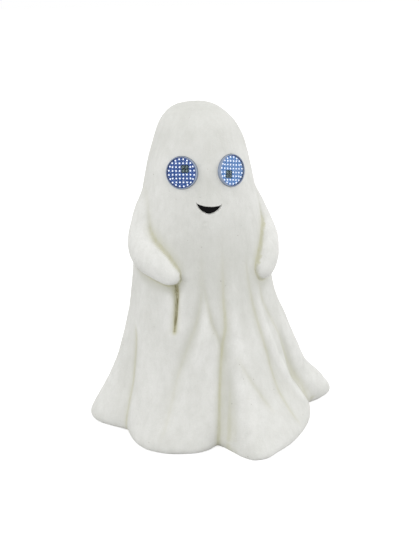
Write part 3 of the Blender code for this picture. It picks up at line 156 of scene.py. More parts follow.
# Each arm from shoulder to hand: angle, height as a share of the figure's, then the reach of its middle and
# its radius as shares of the arms' reach and radius
ARM_SHARES = (
    ((-86, .719, .66, .68), (-83.5, .679, .79, .95), (-78, .62, .89, 1.17), (-69, .579, .945, 1.27),
     (-59.5, .559, .97, 1.2), (-49, .543, .985, 1.02), (-37, .519, 1.01, .7)),
    ((90, .719, .66, .65), (90, .679, .81, .86), (87, .629, .935, .98), (75, .585, 1.022, 1.05),
     (68, .553, 1.055, 1.02), (62.5, .53, 1.075, .93), (58, .511, 1.07, .82)),
)
ARM_BEADS = 90
ARM_FILLET = 0.0025
SHOULDER_FILLET = 0.021
SHOULDER_RUN_SHARES = (2, .6)

# Steps of the statue's mesh: where each run starts and its step, in degrees round it and in metres up it
COLUMN_RUNS = ((-180, 1.6), (-104, .58), (104, 1.6), (180, 0))
ROW_RUNS = ((.012, .0032), (.222, .0015), (.342, .003), (.428, 0))
CURL_ROWS = 6
DOME_ROWS = 17
CORE_ROWS = 24
RELAX_PASSES = 6

# The mouth, as in the CAD: its place in degrees and as a share of the height, and how it leans
MOUTH_ANGLE = 0.6
MOUTH_HEIGHT_SHARE = 0.7365
MOUTH_LEAN = -6.4
MOUTH_DEPTH = 0.0042
MOUTH_CORNER = 2.5
MOUTH_POINT = 0.16
MOUTH_STEPS = 28

# The pocket of the battery case
POCKET_AIR = 0.001
POCKET_DEPTH = 0.010
SEAT_DEPTH = 0.010
RUNNING_GAP = 0.0005

# The wash in each fold of the table above, from none to full: a thin line and a faint halo, which also paint the
# fold's shade
LINE_WASH_SHARES = (0, 0, 0, 0, .46, .6, .16, .2, .2, .36, .26, .3, .3, .3, .3, .25, 1)
LINE_WIDTH = 0.0018
HALO_WIDTH = 0.006
HALO_SHARE = 0.42
LINE_DEPTH_SHARE = 0.12
LINE_TOP_SHARE = 0.36
# Height share of the middle of the chest's painted shade
CHEST_SHARE = 0.56

# The grid on which hollows are found, in degrees and metres, and how far round a place is compared, in steps
HOLLOW_STEP = (.6, .0015)
NEAR_STEPS = 2
WIDE_STEPS = 8


def smooth_curve(points, at):
    """The monotone cubic through (place, value) points, read at each place given."""
    x, y = np.array(points, float).T
    run = np.diff(x)
    slope = np.diff(y) / run
    tangent = np.zeros(len(x))
    tangent[0], tangent[-1] = slope[0], slope[-1]
    for i in range(1, len(x) - 1):
        if slope[i - 1] * slope[i] > 0:
            before = 2 * run[i] + run[i - 1]
            after = run[i] + 2 * run[i - 1]
            tangent[i] = (before + after) / (before / slope[i - 1] + after / slope[i])
    at = np.clip(at, x[0], x[-1])
    i = np.clip(np.searchsorted(x, at) - 1, 0, len(x) - 2)
    t = (at - x[i]) / run[i]
    start = (1 + 2 * t) * (1 - t) ** 2 * y[i] + t * (1 - t) ** 2 * run[i] * tangent[i]
    end = t ** 2 * (3 - 2 * t) * y[i + 1] - t ** 2 * (1 - t) * run[i] * tangent[i + 1]
    return start + end


def signed(angle):
    return (angle + 180) % 360 - 180


def round_curve(points, at):
    """smooth_curve round the figure, with the angles of the points in degrees."""
    places = sorted((signed(angle), value) for angle, value in points)
    before = [(angle - 360, value) for angle, value in places[-3:]]
    after = [(angle + 360, value) for angle, value in places[:3]]
    return smooth_curve(before + places + after, signed(at))


def drape_reach(angle, height):
    """Reach of the plain drape: a quarter of an ellipse between each two of its four sides."""
    share = height / FIGURE_HEIGHT
    left, right, front, back = (
        DRAPE_RADIUS * smooth_curve([(row[0], row[side]) for row in DRAPE_SHARES], share)
        for side in range(1, 5))
    across, along = np.sin(np.radians(angle)), np.cos(np.radians(angle))
    side = np.maximum(np.where(across > 0, right, left), GAP)
    face = np.maximum(np.where(along > 0, front, back), GAP)
    return 1 / np.sqrt((across / side) ** 2 + (along / face) ** 2)


def draped_reach(sizes, angle, height):
    """Reach of the drape with its lobes and folds, and without the arms."""
    share = height / FIGURE_HEIGHT
    lean = round_curve(LOBE_LEAN, angle) * np.clip(share / LEAN_TOP_SHARE, 0, 1)
    hem = DRAPE_RADIUS * round_curve(HEM_SHARES, angle - lean) / drape_reach(angle - lean, 0 * height)
    plain = drape_reach(angle, height)
    reach = plain * (1 + (hem - 1) * np.clip(1 - share / LOBE_TOP_SHARE, 0, 1) ** LOBE_FALL)
    for kind, line in FOLD_SHARES:
        middle = smooth_curve([(row[0], row[1]) for row in line], share)
        depth = sizes.fold_depth * smooth_curve([(row[0], row[2]) for row in line], share)
        depth = np.where((share >= line[0][0]) & (share <= line[-1][0]), depth, 0)
        half = np.maximum(FOLD_WIDTH * smooth_curve([(row[0], row[3]) for row in line], share), FINEST_FOLD)
        offset = np.radians(signed(angle - middle)) * plain / half
        if kind == RIDGE:
            reach = reach + depth * np.exp(-offset ** 2)
        else:
            reach = reach - depth * np.exp(.5 - np.sqrt(offset ** 2 + .25))
    return reach


def arm_reach(sizes, angle, height, line):
    """Reach of an arm, as round beads strung along its middle line."""
    stops = range(len(line))
    along = np.linspace(0, len(line) - 1, ARM_BEADS)
    turns, rises, reaches, radii = (
        smooth_curve([(stop, line[stop][column]) for stop in stops], along) for column in range(4))
    reach = np.full(np.shape(angle + height), -ARM_REACH)
    for turn, rise, middle, radius in zip(turns, rises * FIGURE_HEIGHT, reaches * ARM_REACH,
                                          radii * sizes.arm_radius):
        aside = np.radians(signed(angle - turn))
        left = radius ** 2 - (height - rise) ** 2 - (middle * np.sin(aside)) ** 2
        bead = middle * np.cos(aside) + np.sqrt(np.maximum(left, 0))
        reach = np.where((left > 0) & (np.cos(aside) > 0), np.maximum(reach, bead), reach)
    return reach


def filleted(one, other, fillet):
    """The larger of two reaches, with a fillet where they cross."""
    mix = np.clip(.5 + .5 * (one - other) / fillet, 0, 1)
    return other + (one - other) * mix + fillet * mix * (1 - mix)


def statue_reach(sizes, angle, height):
    """Reach of the whole statue."""
    angle, height = np.asarray(angle, float), np.asarray(height, float)
    reach = draped_reach(sizes, angle, height)
    for line, run in zip(ARM_SHARES, SHOULDER_RUN_SHARES):
        shoulder = np.clip((height - FIGURE_HEIGHT * line[3][1]) / (run * sizes.arm_radius), 0, 1)
        fillet = ARM_FILLET + (SHOULDER_FILLET - ARM_FILLET) * shoulder
        reach = filleted(arm_reach(sizes, angle, height, line), reach, fillet)
    low = np.clip(1 - height / HEM_CURL, 0, 1)
    return reach - HEM_TURN * (1 - np.sqrt(1 - low ** 2))


def core_reach(sizes, angle, height):
    """Reach of the hollow, which stays a wall behind the deepest fold near it."""
    angle, height = np.asarray(angle, float), np.maximum(height, 0)
    raised = height * FIGURE_HEIGHT / (FIGURE_HEIGHT - WALL)
    nearest = np.min([draped_reach(sizes, angle + aside, raised) for aside in (-CORE_STEP, 0, CORE_STEP)],
                     axis=0)
    rim = HEM_TURN * np.clip(1 - height / RIM_TAPER, 0, 1)
    return np.maximum(nearest - WALL - rim, GAP)


def on_statue(sizes, angle, height):
    reach = float(statue_reach(sizes, angle, height))
    return AXIS + Vector((reach * sin(radians(angle)), -reach * cos(radians(angle)), height))


# Frames and sizes taken from the CAD nodes

def eye_frame(side):
    """The frame of an eye: its origin in the middle of its board's front, and Y out along its axis."""
    points = np.array([vert.co for vert in frame["nodes"][side + "_led_board"].data.vertices])
    middle = (points.min(axis=0) + points.max(axis=0)) / 2
    normal = Vector(np.linalg.svd(points - points.mean(axis=0))[2][2])
    if normal.y > 0:
        normal.negate()
    across = normal.cross(Vector((0, 0, 1))).normalized()
    turn = Matrix((across, normal, across.cross(normal))).transposed().to_4x4()
    return Matrix.Translation(Vector(middle)) @ turn


def panel_frame():
    """The frame of the battery case: the middle of its pocket's floor, Y out of the back and Z up it."""
    joints = {joint["name"]: joint for joint in frame["joints"]}
    along = Vector(joints["battery_door_hinge"]["axis"])
    out = Vector(joints["door_screw_turn"]["axis"])
    turn = Matrix((along, out, along.cross(out))).transposed().to_4x4()
    low, high = local_box(turn, "case_gasket")
    return turn @ Matrix.Translation(((low.x + high.x) / 2, low.y - GAP, (low.z + high.z) / 2))


def local_box(place, *nodes):
    """Lowest and highest corners of CAD nodes in a frame of their own."""
    inverse = place.inverted()
    points = np.array([inverse @ vert.co for node in nodes for vert in frame["nodes"][node].data.vertices])
    return Vector(points.min(axis=0)), Vector(points.max(axis=0))


# Helpers

def linear(hex_colour):
    """A hex sRGB colour as linear numbers."""
    shares = [int(hex_colour[i:i + 2], 16) / 255 for i in (1, 3, 5)]
    return tuple(share / 12.92 if share <= .04045 else ((share + .055) / 1.055) ** 2.4 for share in shares)


def add_node(tree, kind, inputs=None, **settings):
    """A node with its settings, and with its inputs set or linked."""
    made = tree.nodes.new(kind)
    for name, value in settings.items():
        setattr(made, name, value)
    for name, value in (inputs or {}).items():
        if isinstance(value, bpy.types.NodeSocket):
            tree.links.new(value, made.inputs[name])
        else:
            made.inputs[name].default_value = value
    return made


def new_material(name):
    """The tree of a new material, its shader and its Object coordinates."""
    material = bpy.data.materials.new(name)
    material.use_nodes = True
    tree = material.node_tree
    place = add_node(tree, "ShaderNodeTexCoord").outputs["Object"]
    return tree, tree.nodes["Principled BSDF"], place


def mesh_from(name, build):
    """A mesh made by a function that fills a bmesh, with its faces turned outwards."""
    work = bmesh.new()
    build(work)
    bmesh.ops.recalc_face_normals(work, faces=work.faces)
    mesh = bpy.data.meshes.new(name)
    work.to_mesh(mesh)
    work.free()
    return mesh


def new_object(name, mesh, *materials):
    thing = bpy.data.objects.new(name, mesh)
    bpy.context.scene.collection.objects.link(thing)
    mesh.materials.clear()
    for material in materials:
        mesh.materials.append(bpy.data.materials[material])
    return thing


def smooth(thing, degrees=35):
    thing.data.shade_smooth()
    thing.data.set_sharp_from_angle(angle=radians(degrees))


def settle(thing):
    """Turn a thing's modifiers into plain mesh."""
    depsgraph = bpy.context.evaluated_depsgraph_get()
    mesh = bpy.data.meshes.new_from_object(thing.evaluated_get(depsgraph))
    thing.modifiers.clear()
    thing.data = mesh


def cut(thing, tools, operation="DIFFERENCE"):
    """Cut tools out of a thing, or join them to it, and remove them."""
    for tool in tools:
        modifier = thing.modifiers.new(tool.name, "BOOLEAN")
        modifier.operation = operation
        modifier.object = tool
        modifier.solver = "EXACT"
    settle(thing)
    for tool in tools:
        bpy.data.objects.remove(tool, do_unlink=True)


def finish_piece(thing, body, replaced=(), degrees=35):
    """Shade a piece, say what it rides on, and hide the CAD nodes that it stands for."""
    smooth(thing, degrees)
    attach(thing, body)
    if replaced:
        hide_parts(*replaced)


def bridge(work, rings):
    """Faces between each ring of points and the next."""
    for one, other in zip(rings, rings[1:]):
        for i in range(len(one)):
            after = (i + 1) % len(one)
            work.faces.new((one[i], one[after], other[after], other[i]))


def plate_into(work, low, high, radius, levels, corner_steps=4):
    """A plate with rounded corners, from its (x, z) corners and (inset, y) levels, last one first."""
    rings = []
    for inset, level in levels:
        corner = max(radius - inset, GAP / 10)
        ring = []
        for side_x, side_z, start in ((1, 1, 0), (-1, 1, 90), (-1, -1, 180), (1, -1, 270)):
            middle_x = (high[0] if side_x > 0 else low[0]) - side_x * (inset + corner)
            middle_z = (high[1] if side_z > 0 else low[1]) - side_z * (inset + corner)
            for step in range(corner_steps + 1):
                turn = radians(start + 90 * step / corner_steps)
                ring.append(work.verts.new((middle_x + corner * cos(turn), level,
                                            middle_z + corner * sin(turn))))
        rings.append(ring)
    bridge(work, rings)
    work.faces.new(rings[0])
    work.faces.new(rings[-1])


def soft_levels(low, high, edge):
    """Levels of a plate whose front and back edges are rounded."""
    return [(edge, low), (edge * .3, low + edge * .3), (0, low + edge), (0, high - edge),
            (edge * .3, high - edge * .3), (edge, high)]


def lathe_into(work, profile, steps, place=None):
    """A (radius, height) profile turned about Y and closed, welded where it meets the axis."""
    place = place or Matrix.Identity(4)
    rings = []
    for radius, height in profile:
        count = 1 if radius < GAP / 100 else steps
        rings.append([work.verts.new(place @ Vector((radius * cos(2 * pi * i / steps), height,
                                                     radius * sin(2 * pi * i / steps))))
                      for i in range(count)])
    closed = len(rings[0]) > 1
    pairs = list(zip(rings, rings[1:])) + ([(rings[-1], rings[0])] if closed else [])
    for one, other in pairs:
        for i in range(steps):
            after = (i + 1) % steps
            corners = [one[i % len(one)], one[after % len(one)], other[after % len(other)],
                       other[i % len(other)]]
            corners = list(dict.fromkeys(corners))
            if len(corners) > 2:
                work.faces.new(corners)


def rod_into(work, start, end, radius, sides):
    start, end = Vector(start), Vector(end)
    turn = (end - start).to_track_quat("Z", "Y").to_matrix().to_4x4()
    place = Matrix.Translation((start + end) / 2) @ turn
    bmesh.ops.create_cone(work, cap_ends=True, segments=sides, radius1=radius, radius2=radius,
                          depth=(end - start).length, matrix=place)


def grown(name, seed_mesh, tree_inputs, build_tree, *materials):
    """A piece made by a Geometry Nodes tree on a seed mesh, as a plain mesh."""
    thing = new_object(name, seed_mesh, *materials)
    tree = bpy.data.node_groups.new(name, "GeometryNodeTree")
    tree.interface.new_socket("Geometry", in_out="INPUT", socket_type="NodeSocketGeometry")
    sockets = {}
    for label, (kind, value) in tree_inputs.items():
        sockets[label] = tree.interface.new_socket(label, in_out="INPUT", socket_type=kind).identifier
    tree.interface.new_socket("Geometry", in_out="OUTPUT", socket_type="NodeSocketGeometry")
    entry, leave = add_node(tree, "NodeGroupInput"), add_node(tree, "NodeGroupOutput")
    tree.links.new(build_tree(tree, entry.outputs), leave.inputs[0])
    modifier = thing.modifiers.new(name, "NODES")
    modifier.node_group = tree
    for label, (kind, value) in tree_inputs.items():
        modifier[sockets[label]] = value
    settle(thing)
    return thing


def moulding(name, material, place, steps, edge=.0003):
    """A moulded piece in a frame of its own: each step joins or cuts a form, then its edges are broken."""
    thing = new_object(name, mesh_from(name, steps[0][1]), material)
    for operation, build in steps[1:]:
        cut(thing, [new_object(name + "_tool", mesh_from(name, build))], operation)
    if edge:
        bevel = thing.modifiers.new("Edges", "BEVEL")
        bevel.width = edge
        bevel.segments = 2
        bevel.limit_method = "ANGLE"
        bevel.angle_limit = radians(38)
        settle(thing)
    thing.data.transform(place)
    return thing


def add_loose(thing, others):
    """Put other objects' meshes into a thing as loose parts, and remove the others."""
    work = bmesh.new()
    work.from_mesh(thing.data)
    for other in others:
        first = len(thing.data.materials)
        for material in other.data.materials:
            thing.data.materials.append(material)
        other.data.polygons.foreach_set("material_index", [
            face.material_index + first for face in other.data.polygons])
        work.from_mesh(other.data)
    work.to_mesh(thing.data)
    work.free()
    for other in others:
        bpy.data.objects.remove(other, do_unlink=True)


def lettering(words, height, place, raised, material):
    """Raised letters on a face whose frame has Y out of it, read from outside with Z up."""
    curve = bpy.data.curves.new(words, "FONT")
    curve.body = words
    curve.size = height / FONT_CAP_SHARE
    curve.extrude = raised
    curve.align_x = "CENTER"
    curve.align_y = "CENTER"
    flat = bpy.data.objects.new(words, curve)
    bpy.context.scene.collection.objects.link(flat)
    bpy.context.view_layer.update()
    mesh = bpy.data.meshes.new_from_object(flat.evaluated_get(bpy.context.evaluated_depsgraph_get()))
    bpy.data.objects.remove(flat, do_unlink=True)
    read = Matrix(((-1, 0, 0), (0, 0, 1), (0, 1, 0))).transposed().to_4x4()
    mesh.transform(place @ read)
    work = bmesh.new()
    work.from_mesh(mesh)
    bmesh.ops.remove_doubles(work, verts=work.verts, dist=GAP / 100)
    work.to_mesh(mesh)
    work.free()
    return new_object("letters_" + words, mesh, material)


def plate(low, high, radius, levels, corner_steps=4):
    """A step of a moulding: a plate between two (x, z) corners."""
    return lambda work: plate_into(work, low, high, radius, levels, corner_steps)


def rods(runs, radius, sides=24):
    """A step of a moulding: round rods between pairs of points."""
    def build(work):
        for start, end in runs:
            rod_into(work, start, end, radius, sides)
    return build


# Materials

def blend_colours(tree, factor, one, other):
    """The colour between two, each a colour or a socket, by a factor."""
    colours = [value if isinstance(value, bpy.types.NodeSocket) else (*value, 1) for value in (one, other)]
    mix = add_node(tree, "ShaderNodeMix", {"Factor": factor, 6: colours[0], 7: colours[1]}, data_type="RGBA")
    return mix.outputs[2]


# Size of each grain of the cement, in metres
CLOUD_GRAIN = 0.04
GRIT_GRAIN = 0.002
SMEAR_GRAIN = 0.01
STROKE_GRAIN = 0.0035
HOLE_SPACING = 0.012


def make_cement(colours):
    """Cast cement under a thinned white wash: dead matt and cloudy, with grit, pores, ochre creases that also
    paint the creases' shade, and painted shade from the shade attribute.
    """
    tree, shader, place = new_material("Whitewashed cast cement")
    crease = add_node(tree, "ShaderNodeAttribute", attribute_name="crease").outputs["Fac"]
    shade = add_node(tree, "ShaderNodeAttribute", attribute_name="shade").outputs["Fac"]
    clouds = add_node(tree, "ShaderNodeTexNoise", {"Vector": place, "Scale": 1 / CLOUD_GRAIN, "Detail": 5,
                                                   "Roughness": .6})
    cloud = add_node(tree, "ShaderNodeMapRange", {"Value": clouds.outputs["Fac"], "From Min": .35,
                                                  "From Max": .68})
    colour = blend_colours(tree, cloud.outputs["Result"], colours.cement_pale, colours.cement)
    # Grit of about 1 mm is drawn at 2 mm, so that it shows
    grit = add_node(tree, "ShaderNodeTexNoise", {"Vector": place, "Scale": 1 / GRIT_GRAIN, "Detail": 3,
                                                 "Roughness": .7})
    speck = add_node(tree, "ShaderNodeMapRange", {"Value": grit.outputs["Fac"], "From Min": .3,
                                                  "From Max": .75, "To Max": .18})
    colour = blend_colours(tree, speck.outputs["Result"], colour, colours.cement_grit_and_shade)
    # Painted shade: the shade attribute mixes in the duller colour on the folds' hollows, the chest, the face and
    # the crown
    painted_shade = add_node(tree, "ShaderNodeMath", {0: shade, 1: .55}, operation="MULTIPLY")
    colour = blend_colours(tree, painted_shade.outputs[0], colour, colours.cement_grit_and_shade)
    # Soft smears where the wash was wiped downwards, about 10 mm across
    wiped = add_node(tree, "ShaderNodeMapping", {"Vector": place, "Scale": (1, 1, .5)})
    smears = add_node(tree, "ShaderNodeTexNoise", {"Vector": wiped.outputs["Vector"],
                                                   "Scale": 1 / SMEAR_GRAIN, "Detail": 5,
                                                   "Roughness": .65})
    smear = add_node(tree, "ShaderNodeMapRange", {"Value": smears.outputs["Fac"], "From Min": .42,
                                                  "From Max": .66, "To Max": .2})
    colour = blend_colours(tree, smear.outputs["Result"], colour, colours.cement_grit_and_shade)
    # The wash is broken up by the strokes of the brush, about 3.5 mm across and 30 mm long
    upright = add_node(tree, "ShaderNodeMapping", {"Vector": place, "Scale": (1, 1, .12)})
    strokes = add_node(tree, "ShaderNodeTexNoise", {"Vector": upright.outputs["Vector"],
                                                    "Scale": 1 / STROKE_GRAIN, "Detail": 4,
                                                    "Roughness": .65})
    streak = add_node(tree, "ShaderNodeMapRange", {"Value": strokes.outputs["Fac"], "From Min": .25,
                                                   "From Max": .7, "To Min": .55, "To Max": 1.1})
    settled = add_node(tree, "ShaderNodeMath", {0: crease, 1: streak.outputs["Result"]}, operation="MULTIPLY",
                       use_clamp=True)
    # Ochre wash in the creases, laid by how deep each hollow is so that it also paints their shade; the deepest,
    # in the slit under the left hand, go darker still with painted shade
    colour = blend_colours(tree, settled.outputs[0], colour, colours.wash)
    deep = add_node(tree, "ShaderNodeMapRange", {"Value": settled.outputs[0], "From Min": .74,
                                                 "From Max": 1.1})
    colour = blend_colours(tree, deep.outputs["Result"], colour, colours.deep_wash_and_shade)
    # Pin-holes left by air in the pour, about 1 mm across and some 12 mm apart, dark with wash and with painted
    # shade inside them
    holes = add_node(tree, "ShaderNodeTexVoronoi", {"Vector": place, "Scale": 1 / HOLE_SPACING,
                                                     "Randomness": 1})
    hole = add_node(tree, "ShaderNodeMapRange", {"Value": holes.outputs["Distance"], "From Min": .03,
                                                 "From Max": .075, "To Min": 1, "To Max": 0})
    some = add_node(tree, "ShaderNodeTexNoise", {"Vector": place, "Scale": 1 / CLOUD_GRAIN})
    thin = add_node(tree, "ShaderNodeMapRange", {"Value": some.outputs["Fac"], "From Min": .5,
                                                 "From Max": .58})
    pin = add_node(tree, "ShaderNodeMath", {0: hole.outputs["Result"], 1: thin.outputs["Result"]},
                   operation="MULTIPLY")
    stain = add_node(tree, "ShaderNodeMath", {0: pin.outputs[0], 1: .55}, operation="MULTIPLY")
    colour = blend_colours(tree, stain.outputs[0], colour, colours.deep_wash_and_shade)
    tree.links.new(colour, shader.inputs["Base Color"])
    rough = add_node(tree, "ShaderNodeMapRange", {"Value": grit.outputs["Fac"], "To Min": .82, "To Max": .97})
    tree.links.new(rough.outputs["Result"], shader.inputs["Roughness"])
    shader.inputs["Specular IOR Level"].default_value = .3
    relief = add_node(tree, "ShaderNodeMath", {0: strokes.outputs["Fac"], 1: .6, 2: grit.outputs["Fac"]},
                      operation="MULTIPLY_ADD")
    relief = add_node(tree, "ShaderNodeMath", {0: pin.outputs[0], 1: -2.0, 2: relief.outputs[0]},
                      operation="MULTIPLY_ADD")
    bump = add_node(tree, "ShaderNodeBump", {"Height": relief.outputs[0], "Strength": .6,
                                             "Distance": .0006})
    tree.links.new(bump.outputs["Normal"], shader.inputs["Normal"])


def make_finish(name, colour, other, grain, roughness, metallic=0.0, relief=.00003, spread=.5, wear=.06):
    """A moulded, painted or plated finish: two close colours clouded together, over a fine grain."""
    tree, shader, place = new_material(name)
    cloud = add_node(tree, "ShaderNodeTexNoise", {"Vector": place, "Scale": 1 / (grain * 12), "Detail": 4})
    mixed = add_node(tree, "ShaderNodeMath", {0: cloud.outputs["Fac"], 1: spread}, operation="MULTIPLY")
    tree.links.new(blend_colours(tree, mixed.outputs[0], linear(colour), linear(other)),
                   shader.inputs["Base Color"])
    fine = add_node(tree, "ShaderNodeTexNoise", {"Vector": place, "Scale": 1 / grain, "Detail": 2})
    worn = add_node(tree, "ShaderNodeMapRange", {"Value": cloud.outputs["Fac"], "To Min": roughness - wear,
                                                 "To Max": roughness + wear})
    tree.links.new(worn.outputs["Result"], shader.inputs["Roughness"])
    bump = add_node(tree, "ShaderNodeBump", {"Height": fine.outputs["Fac"], "Strength": .5,
                                             "Distance": relief})
    tree.links.new(bump.outputs["Normal"], shader.inputs["Normal"])
    shader.inputs["Metallic"].default_value = metallic
    return shader


def make_glow(name, colour, strength, dim, place_of=None, reach=1.0, dark="#2E3E3E"):
    """A glowing surface: emission clouded a little, and dark in a square where an eye's pupil is. The lit diodes
    glow as the lamps they are; on the unlit diodes and on the boards' masks the glow is painted light.
    """
    tree, shader, place = new_material(name)
    cloud = add_node(tree, "ShaderNodeTexNoise", {"Vector": place, "Scale": 1 / .009, "Detail": 3})
    level = add_node(tree, "ShaderNodeMapRange", {"Value": cloud.outputs["Fac"], "From Min": .3,
                                                  "From Max": .7, "To Min": strength * dim,
                                                  "To Max": strength})
    shader.inputs["Base Color"].default_value = (.004, .006, .014, 1)
    shader.inputs["Specular IOR Level"].default_value = .08
    if place_of is None:
        shader.inputs["Emission Color"].default_value = (*linear(colour), 1)
        tree.links.new(level.outputs["Result"], shader.inputs["Emission Strength"])
    else:
        local = add_node(tree, "ShaderNodeMapping", {
            "Vector": place, "Location": place_of.translation, "Rotation": tuple(place_of.to_euler())},
            vector_type="TEXTURE")
        aside = add_node(tree, "ShaderNodeVectorMath", {0: local.outputs["Vector"]}, operation="ABSOLUTE")
        parts = add_node(tree, "ShaderNodeSeparateXYZ", {"Vector": aside.outputs["Vector"]})
        away = add_node(tree, "ShaderNodeMath", {0: parts.outputs["X"], 1: parts.outputs["Z"]},
                        operation="MAXIMUM")
        lit = add_node(tree, "ShaderNodeMapRange", {"Value": away.outputs[0], "From Min": reach * .95,
                                                    "From Max": reach * 1.15})
        colour = blend_colours(tree, lit.outputs["Result"], linear(dark), linear(colour))
        tree.links.new(colour, shader.inputs["Emission Color"])
        tree.links.new(level.outputs["Result"], shader.inputs["Emission Strength"])
    shader.inputs["Roughness"].default_value = .35


def make_materials(colours):
    make_cement(colours)
    # Flat black paint brushed on the cement: no gloss, a little grey where it is thin
    paint = make_finish("Flat black paint", "#070708", "#141416", .0012, .8, relief=.0001)
    paint.inputs["Specular IOR Level"].default_value = .1
    # Moulded grey ABS with a satin face
    make_finish("Satin grey ABS", "#94A1B6", "#7C89A0", .0007, .42, relief=.00002)
    # Clear acrylic, polished
    lens = make_finish("Clear acrylic", "#FFFFFF", "#F4F8FF", .004, .03, relief=.000002, wear=.01)
    lens.inputs["Transmission Weight"].default_value = 1
    # Coated against glare, so that it mirrors next to nothing of a white room
    lens.inputs["IOR"].default_value = 1.14
    lens.inputs["Specular IOR Level"].default_value = .04
    # Solder mask over copper: dark and half glossy
    make_finish("Blue solder mask", "#1B3C8C", "#16316F", .0006, .38)
    make_finish("Green solder mask", "#1D5A33", "#174A2A", .0006, .38)
    # Soft rubber, faintly dusty
    make_finish("Black rubber", "#141414", "#232322", .0009, .8, relief=.00004)
    make_finish("Soft PVC sleeve", "#101011", "#1C1C1E", .0008, .55)
    # Moulded ABS with a fine spark-eroded texture of about 0.4 mm
    make_finish("Textured black ABS", "#1B1B1C", "#262628", .0004, .52, relief=.00005)
    make_finish("Moulded epoxy", "#121213", "#1D1D1F", .0004, .45)
    # Zinc plate, bright with faint blue clouds
    make_finish("Zinc-plated steel", "#9EA2A7", "#8A8F96", .0008, .3, 1.0, relief=.00001)
    make_finish("Nickel-plated spring steel", "#C9C2B5", "#B8B0A2", .0006, .2, 1.0, relief=.000005)
    make_finish("Drawn aluminium can", "#C8CACC", "#B4B7BA", .0006, .28, 1.0, relief=.000005)
    # Printed plastic sleeve shrunk on a cell: smooth and glossy
    make_finish("Grey shrink sleeve", "#3A3E45", "#33373D", .002, .25, relief=.000005)
    make_finish("White printed ring", "#D9DBDA", "#CFD1D0", .001, .5, relief=.000005)
    make_finish("White pad print", "#D2D2CE", "#C2C2BE", .0006, .6)
    make_glow("Lit white diode", "#EDF4FF", 1.25, .9)
    # The pupils' unlit diodes glow faintly grey-green: painted glow, as they are switched off
    make_glow("Unlit diode", "#8FA6A2", .8, .7)


CAD_FINISHES = {
    "cement": "Whitewashed cast cement", "black_paint": "Flat black paint", "grey_plastic": "Satin grey ABS",
    "clear_acrylic": "Clear acrylic", "blue_board": "Blue solder mask", "white_diode": "Lit white diode",
    "rubber": "Black rubber", "black_plastic": "Textured black ABS", "black_chip": "Moulded epoxy",
    "green_board": "Green solder mask", "wire_sleeve": "Soft PVC sleeve", "zinc_steel": "Zinc-plated steel",
    "nickel": "Nickel-plated spring steel", "aluminium_can": "Drawn aluminium can",
    "cell_wrap": "Grey shrink sleeve",
}


def finish_cad_nodes():
    """Give every CAD node the finish of its slot, also those that a piece will stand for."""
    for part in frame["record"]["subparts"]:
        mesh = frame["nodes"][part["node"]].data
        finish = bpy.data.materials[CAD_FINISHES[part["material_slot"]]]
        if not mesh.materials:
            mesh.materials.append(finish)
        for i in range(len(mesh.materials)):
            mesh.materials[i] = finish


# The statue

def run_places(runs):
    """Places along runs that each have a start and a step."""
    return np.concatenate([
        np.linspace(start, end, round((end - start) / step), endpoint=False)
        for (start, step), (end, _) in zip(runs, runs[1:])])


def statue_heights():
    curl = HEM_CURL * (1 - np.cos(np.linspace(0, pi / 2, CURL_ROWS, endpoint=False)))
    low = ROW_RUNS[-1][0]
    dome = low + (FIGURE_HEIGHT - low) * np.sin(np.linspace(0, pi / 2, DOME_ROWS, endpoint=False))
    return np.concatenate([curl, run_places(ROW_RUNS), dome])


def unevenness(sizes, places):
    """Hand-smoothed lumps some 40 and 13 mm across, and faint upright strokes."""
    rows = []
    for place in places:
        lump = noise.noise(Vector(place) / .04) + .45 * noise.noise(Vector(place) / .013)
        stroke = noise.noise(Vector((place[0] / .004, place[1] / .004, place[2] / .03)))
        rows.append(sizes.lump * lump + sizes.stroke * stroke)
    return np.array(rows)


# The bigger pits, of which the last is on the back: angle, height, radius and depth
BIG_PITS = (
    (-4.7, .325, .0024, .0011), (-61.9, .251, .0022, .0012), (-49.2, .426, .0018, .0008),
    (-24, .118, .0024, .0008), (33, .262, .0020, .0008), (152, .31, .0026, .0011),
)
PIT_SEED = 7


def pit_depths(sizes, angle, height):
    """Shallow pits left by air against the mould: a few big ones, and others strewn by a fixed seed."""
    rng = np.random.default_rng(PIT_SEED)
    pits = list(BIG_PITS)
    for _ in range(sizes.pit_count):
        pits.append((rng.uniform(-180, 180), rng.uniform(.03, .45), rng.uniform(.0012, .0026),
                     rng.uniform(.0003, .0008)))
    depth = np.zeros(np.shape(angle))
    for turn, rise, radius, deep in pits:
        across = np.radians(signed(angle - turn)) * ARM_REACH
        depth += deep * np.exp(-(across ** 2 + (height - rise) ** 2) / radius ** 2)
    return depth


def relaxed(grid):
    """The grid of points with its stretched, steep places evened out."""
    for _ in range(RELAX_PASSES):
        beside = (np.roll(grid, 1, axis=1) + np.roll(grid, -1, axis=1)) / 2
        along = grid.copy()
        along[1:-1] = (grid[2:] + grid[:-2]) / 2
        up = np.linalg.norm(np.diff(grid, axis=0, append=grid[-1:]), axis=2)
        drop = np.abs(np.diff(grid[:, :, 2], axis=0, append=grid[-1:, :, 2]))
        stretch = up / np.maximum(drop, .0008)
        stretch = np.maximum(stretch, np.roll(stretch, 1, axis=0))
        weight = .6 * np.clip((stretch - 1.4) / 1.2, 0, 1)
        weight[:4] = 0
        weight[-DOME_ROWS - 8:] = 0
        grid = grid + weight[:, :, None] * ((beside + along) / 2 - grid)
    return grid


